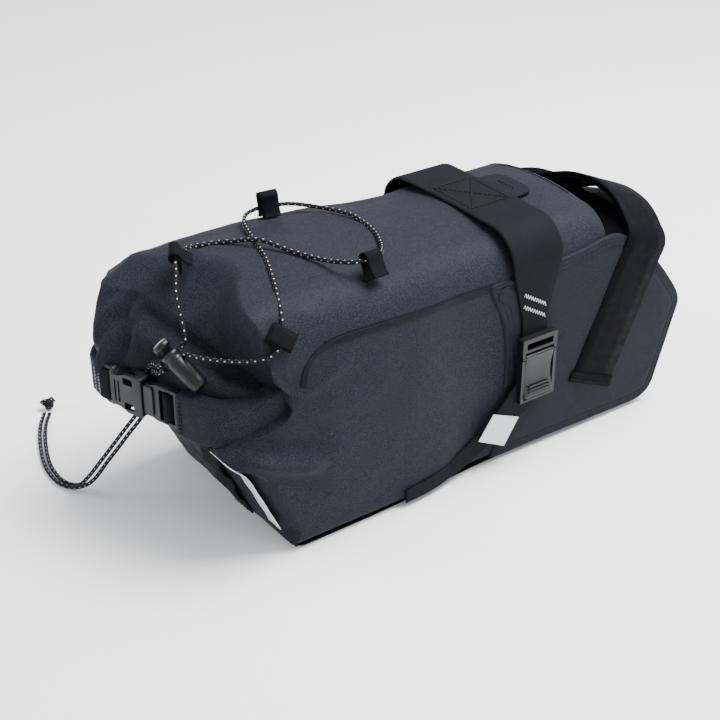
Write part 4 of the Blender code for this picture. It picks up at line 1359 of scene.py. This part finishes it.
# The lock's profiles from the plunger's end: distance along it and radius.
LOCK_BARREL = [(-12.2, 3.9), (-12.9, 4.3), (-13.0, 4.9), (-13.0, 5.3), (-12.7, 5.6), (-11.6, 5.65),
               (-10.4, 5.6), (-10.0, 5.1), (-7.6, 5.1), (-7.2, 5.5), (-5.0, 5.55), (0.0, 5.5), (4.0, 5.5),
               (4.4, 5.65), (9.0, 5.6), (11.6, 5.3), (12.6, 4.7), (13.0, 3.8), (13.0, 0.5)]
LOCK_PLUNGER = [(-20.6, 0.4), (-20.5, 3.6), (-20.3, 4.6), (-19.8, 5.2), (-19.0, 5.5), (-17.6, 5.5),
                (-17.0, 5.2), (-16.8, 3.5), (-3.0, 3.4), (-2.0, 3.2)]
LOCK_BUTTON = [(-21.4, 0.3), (-21.3, 2.8), (-21.0, 3.9), (-20.5, 4.5), (-19.9, 4.8)]


def make_cord_lock():
    made = turned("lock_barrel", LOCK_CENTRE, LOCK_RUN, LOCK_BARREL, PLASTIC, sides=48,
                  ribs=(4.2, 9.2, 16, 0.5))
    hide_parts("cord_lock_body", "cord_lock_spring")
    made = turned("lock_plunger", LOCK_CENTRE, LOCK_RUN, LOCK_PLUNGER, PLASTIC, "lock_plunger")
    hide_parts("cord_lock_plunger")
    turned("lock_button", LOCK_CENTRE, LOCK_RUN, LOCK_BUTTON, TIP, "lock_plunger")


# Each loop: its foot on the body, the way it stands, the way the cord passes, its height.
LOOPS = {
    "front_left": ((60.6, 48.0, 157.5), (0.0, 0.2, 1.0), (0.98, -0.2, 0.0), 14.0),
    "front_right": ((64.0, -57.9, 157.8), (0.0, 0.5, 0.86), (0.97, 0.25, 0.0), 14.0),
    "rear_left": ((-19.0, 12.0, 161.5), (-0.6, 0.2, 0.78), (0.6, 0.8, 0.0), 12.0),
    "rear_right": ((-2.3, -69.6, 140.3), (-0.7, 0.45, 0.6), (0.75, 0.42, 0.56), 13.0),
}
LOOP_RADIUS = 3.0


def make_loops():
    for name, (foot, stand, axis, height) in LOOPS.items():
        stand = Vector(stand).normalized()
        axis = Vector(axis)
        axis = (axis - axis.dot(stand) * stand).normalized()
        across = axis.cross(stand)
        straight = height - LOOP_RADIUS
        leg = [(LOOP_RADIUS + 1.2, -1.6), (LOOP_RADIUS + 0.1, 1.5), (LOOP_RADIUS - 0.4, straight - 4),
               (LOOP_RADIUS, straight)]
        bend = [(LOOP_RADIUS * cos(pi * i / 12), straight + LOOP_RADIUS * sin(pi * i / 12))
                for i in range(1, 12)]
        line = leg + bend + [(-a, b) for a, b in reversed(leg)]
        path = smooth_path([at(*foot) + (across * a + stand * b) * MM for a, b in line], 0.7 * MM)
        outs = [-axis.cross(d) for d in runs(path)]
        made = band(f"loop_{name}", path, outs, 12.0, 0.9, TAB, lift=-0.45)
        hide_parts(f"cord_loop_{name}")


make_cord_lock()
make_loops()
show("base_stiffener", BOARD)


# ---------------------------------------------------------------- floor and light

FLOOR_HALF = 6.0
FLOOR_HEIGHT = -0.0005


def make_floor():
    mesh = bpy.data.meshes.new("floor")
    corners = ((-1, -1), (1, -1), (1, 1), (-1, 1))
    mesh.from_pydata([(FLOOR_HALF * x, FLOOR_HALF * y, FLOOR_HEIGHT) for x, y in corners], [], [(0, 1, 2, 3)])
    material, tree, shader, place = begun("pale_floor")
    cloud = noise_of(tree, place, 3.0, 2.0, 0.5)
    coloured(tree, shader, cloud, (0.83, 0.83, 0.84), (0.86, 0.86, 0.865))
    shader.inputs["Roughness"].default_value = 0.9
    shader.inputs["Specular IOR Level"].default_value = 0.2
    mesh.materials.append(material)
    floor = bpy.data.objects.new("floor", mesh)
    bpy.context.scene.collection.objects.link(floor)


def make_light(name, place, target, size, power):
    data = bpy.data.lights.new(name, "AREA")
    data.shape = "RECTANGLE"
    data.size, data.size_y = size
    data.energy = power
    lamp = bpy.data.objects.new(name, data)
    lamp.location = place
    lamp.rotation_euler = (Vector(place) - Vector(target)).to_track_quat("Z", "Y").to_euler()
    bpy.context.scene.collection.objects.link(lamp)


make_floor()
make_light("key", (0.55, -0.25, 1.45), (0, 0, 0.05), (1.0, 1.0), 84)
make_light("fill", (0.75, -1.45, 0.70), (0, 0, 0.08), (1.0, 0.8), 8)
make_light("rim", (-1.1, 0.75, 0.75), (0, 0, 0.1), (0.7, 0.7), 9)
world = bpy.data.worlds.new("studio")
world.use_nodes = True
world.node_tree.nodes["Background"].inputs["Color"].default_value = (0.94, 0.96, 1.0, 1)
world.node_tree.nodes["Background"].inputs["Strength"].default_value = 0.95
bpy.context.scene.world = world
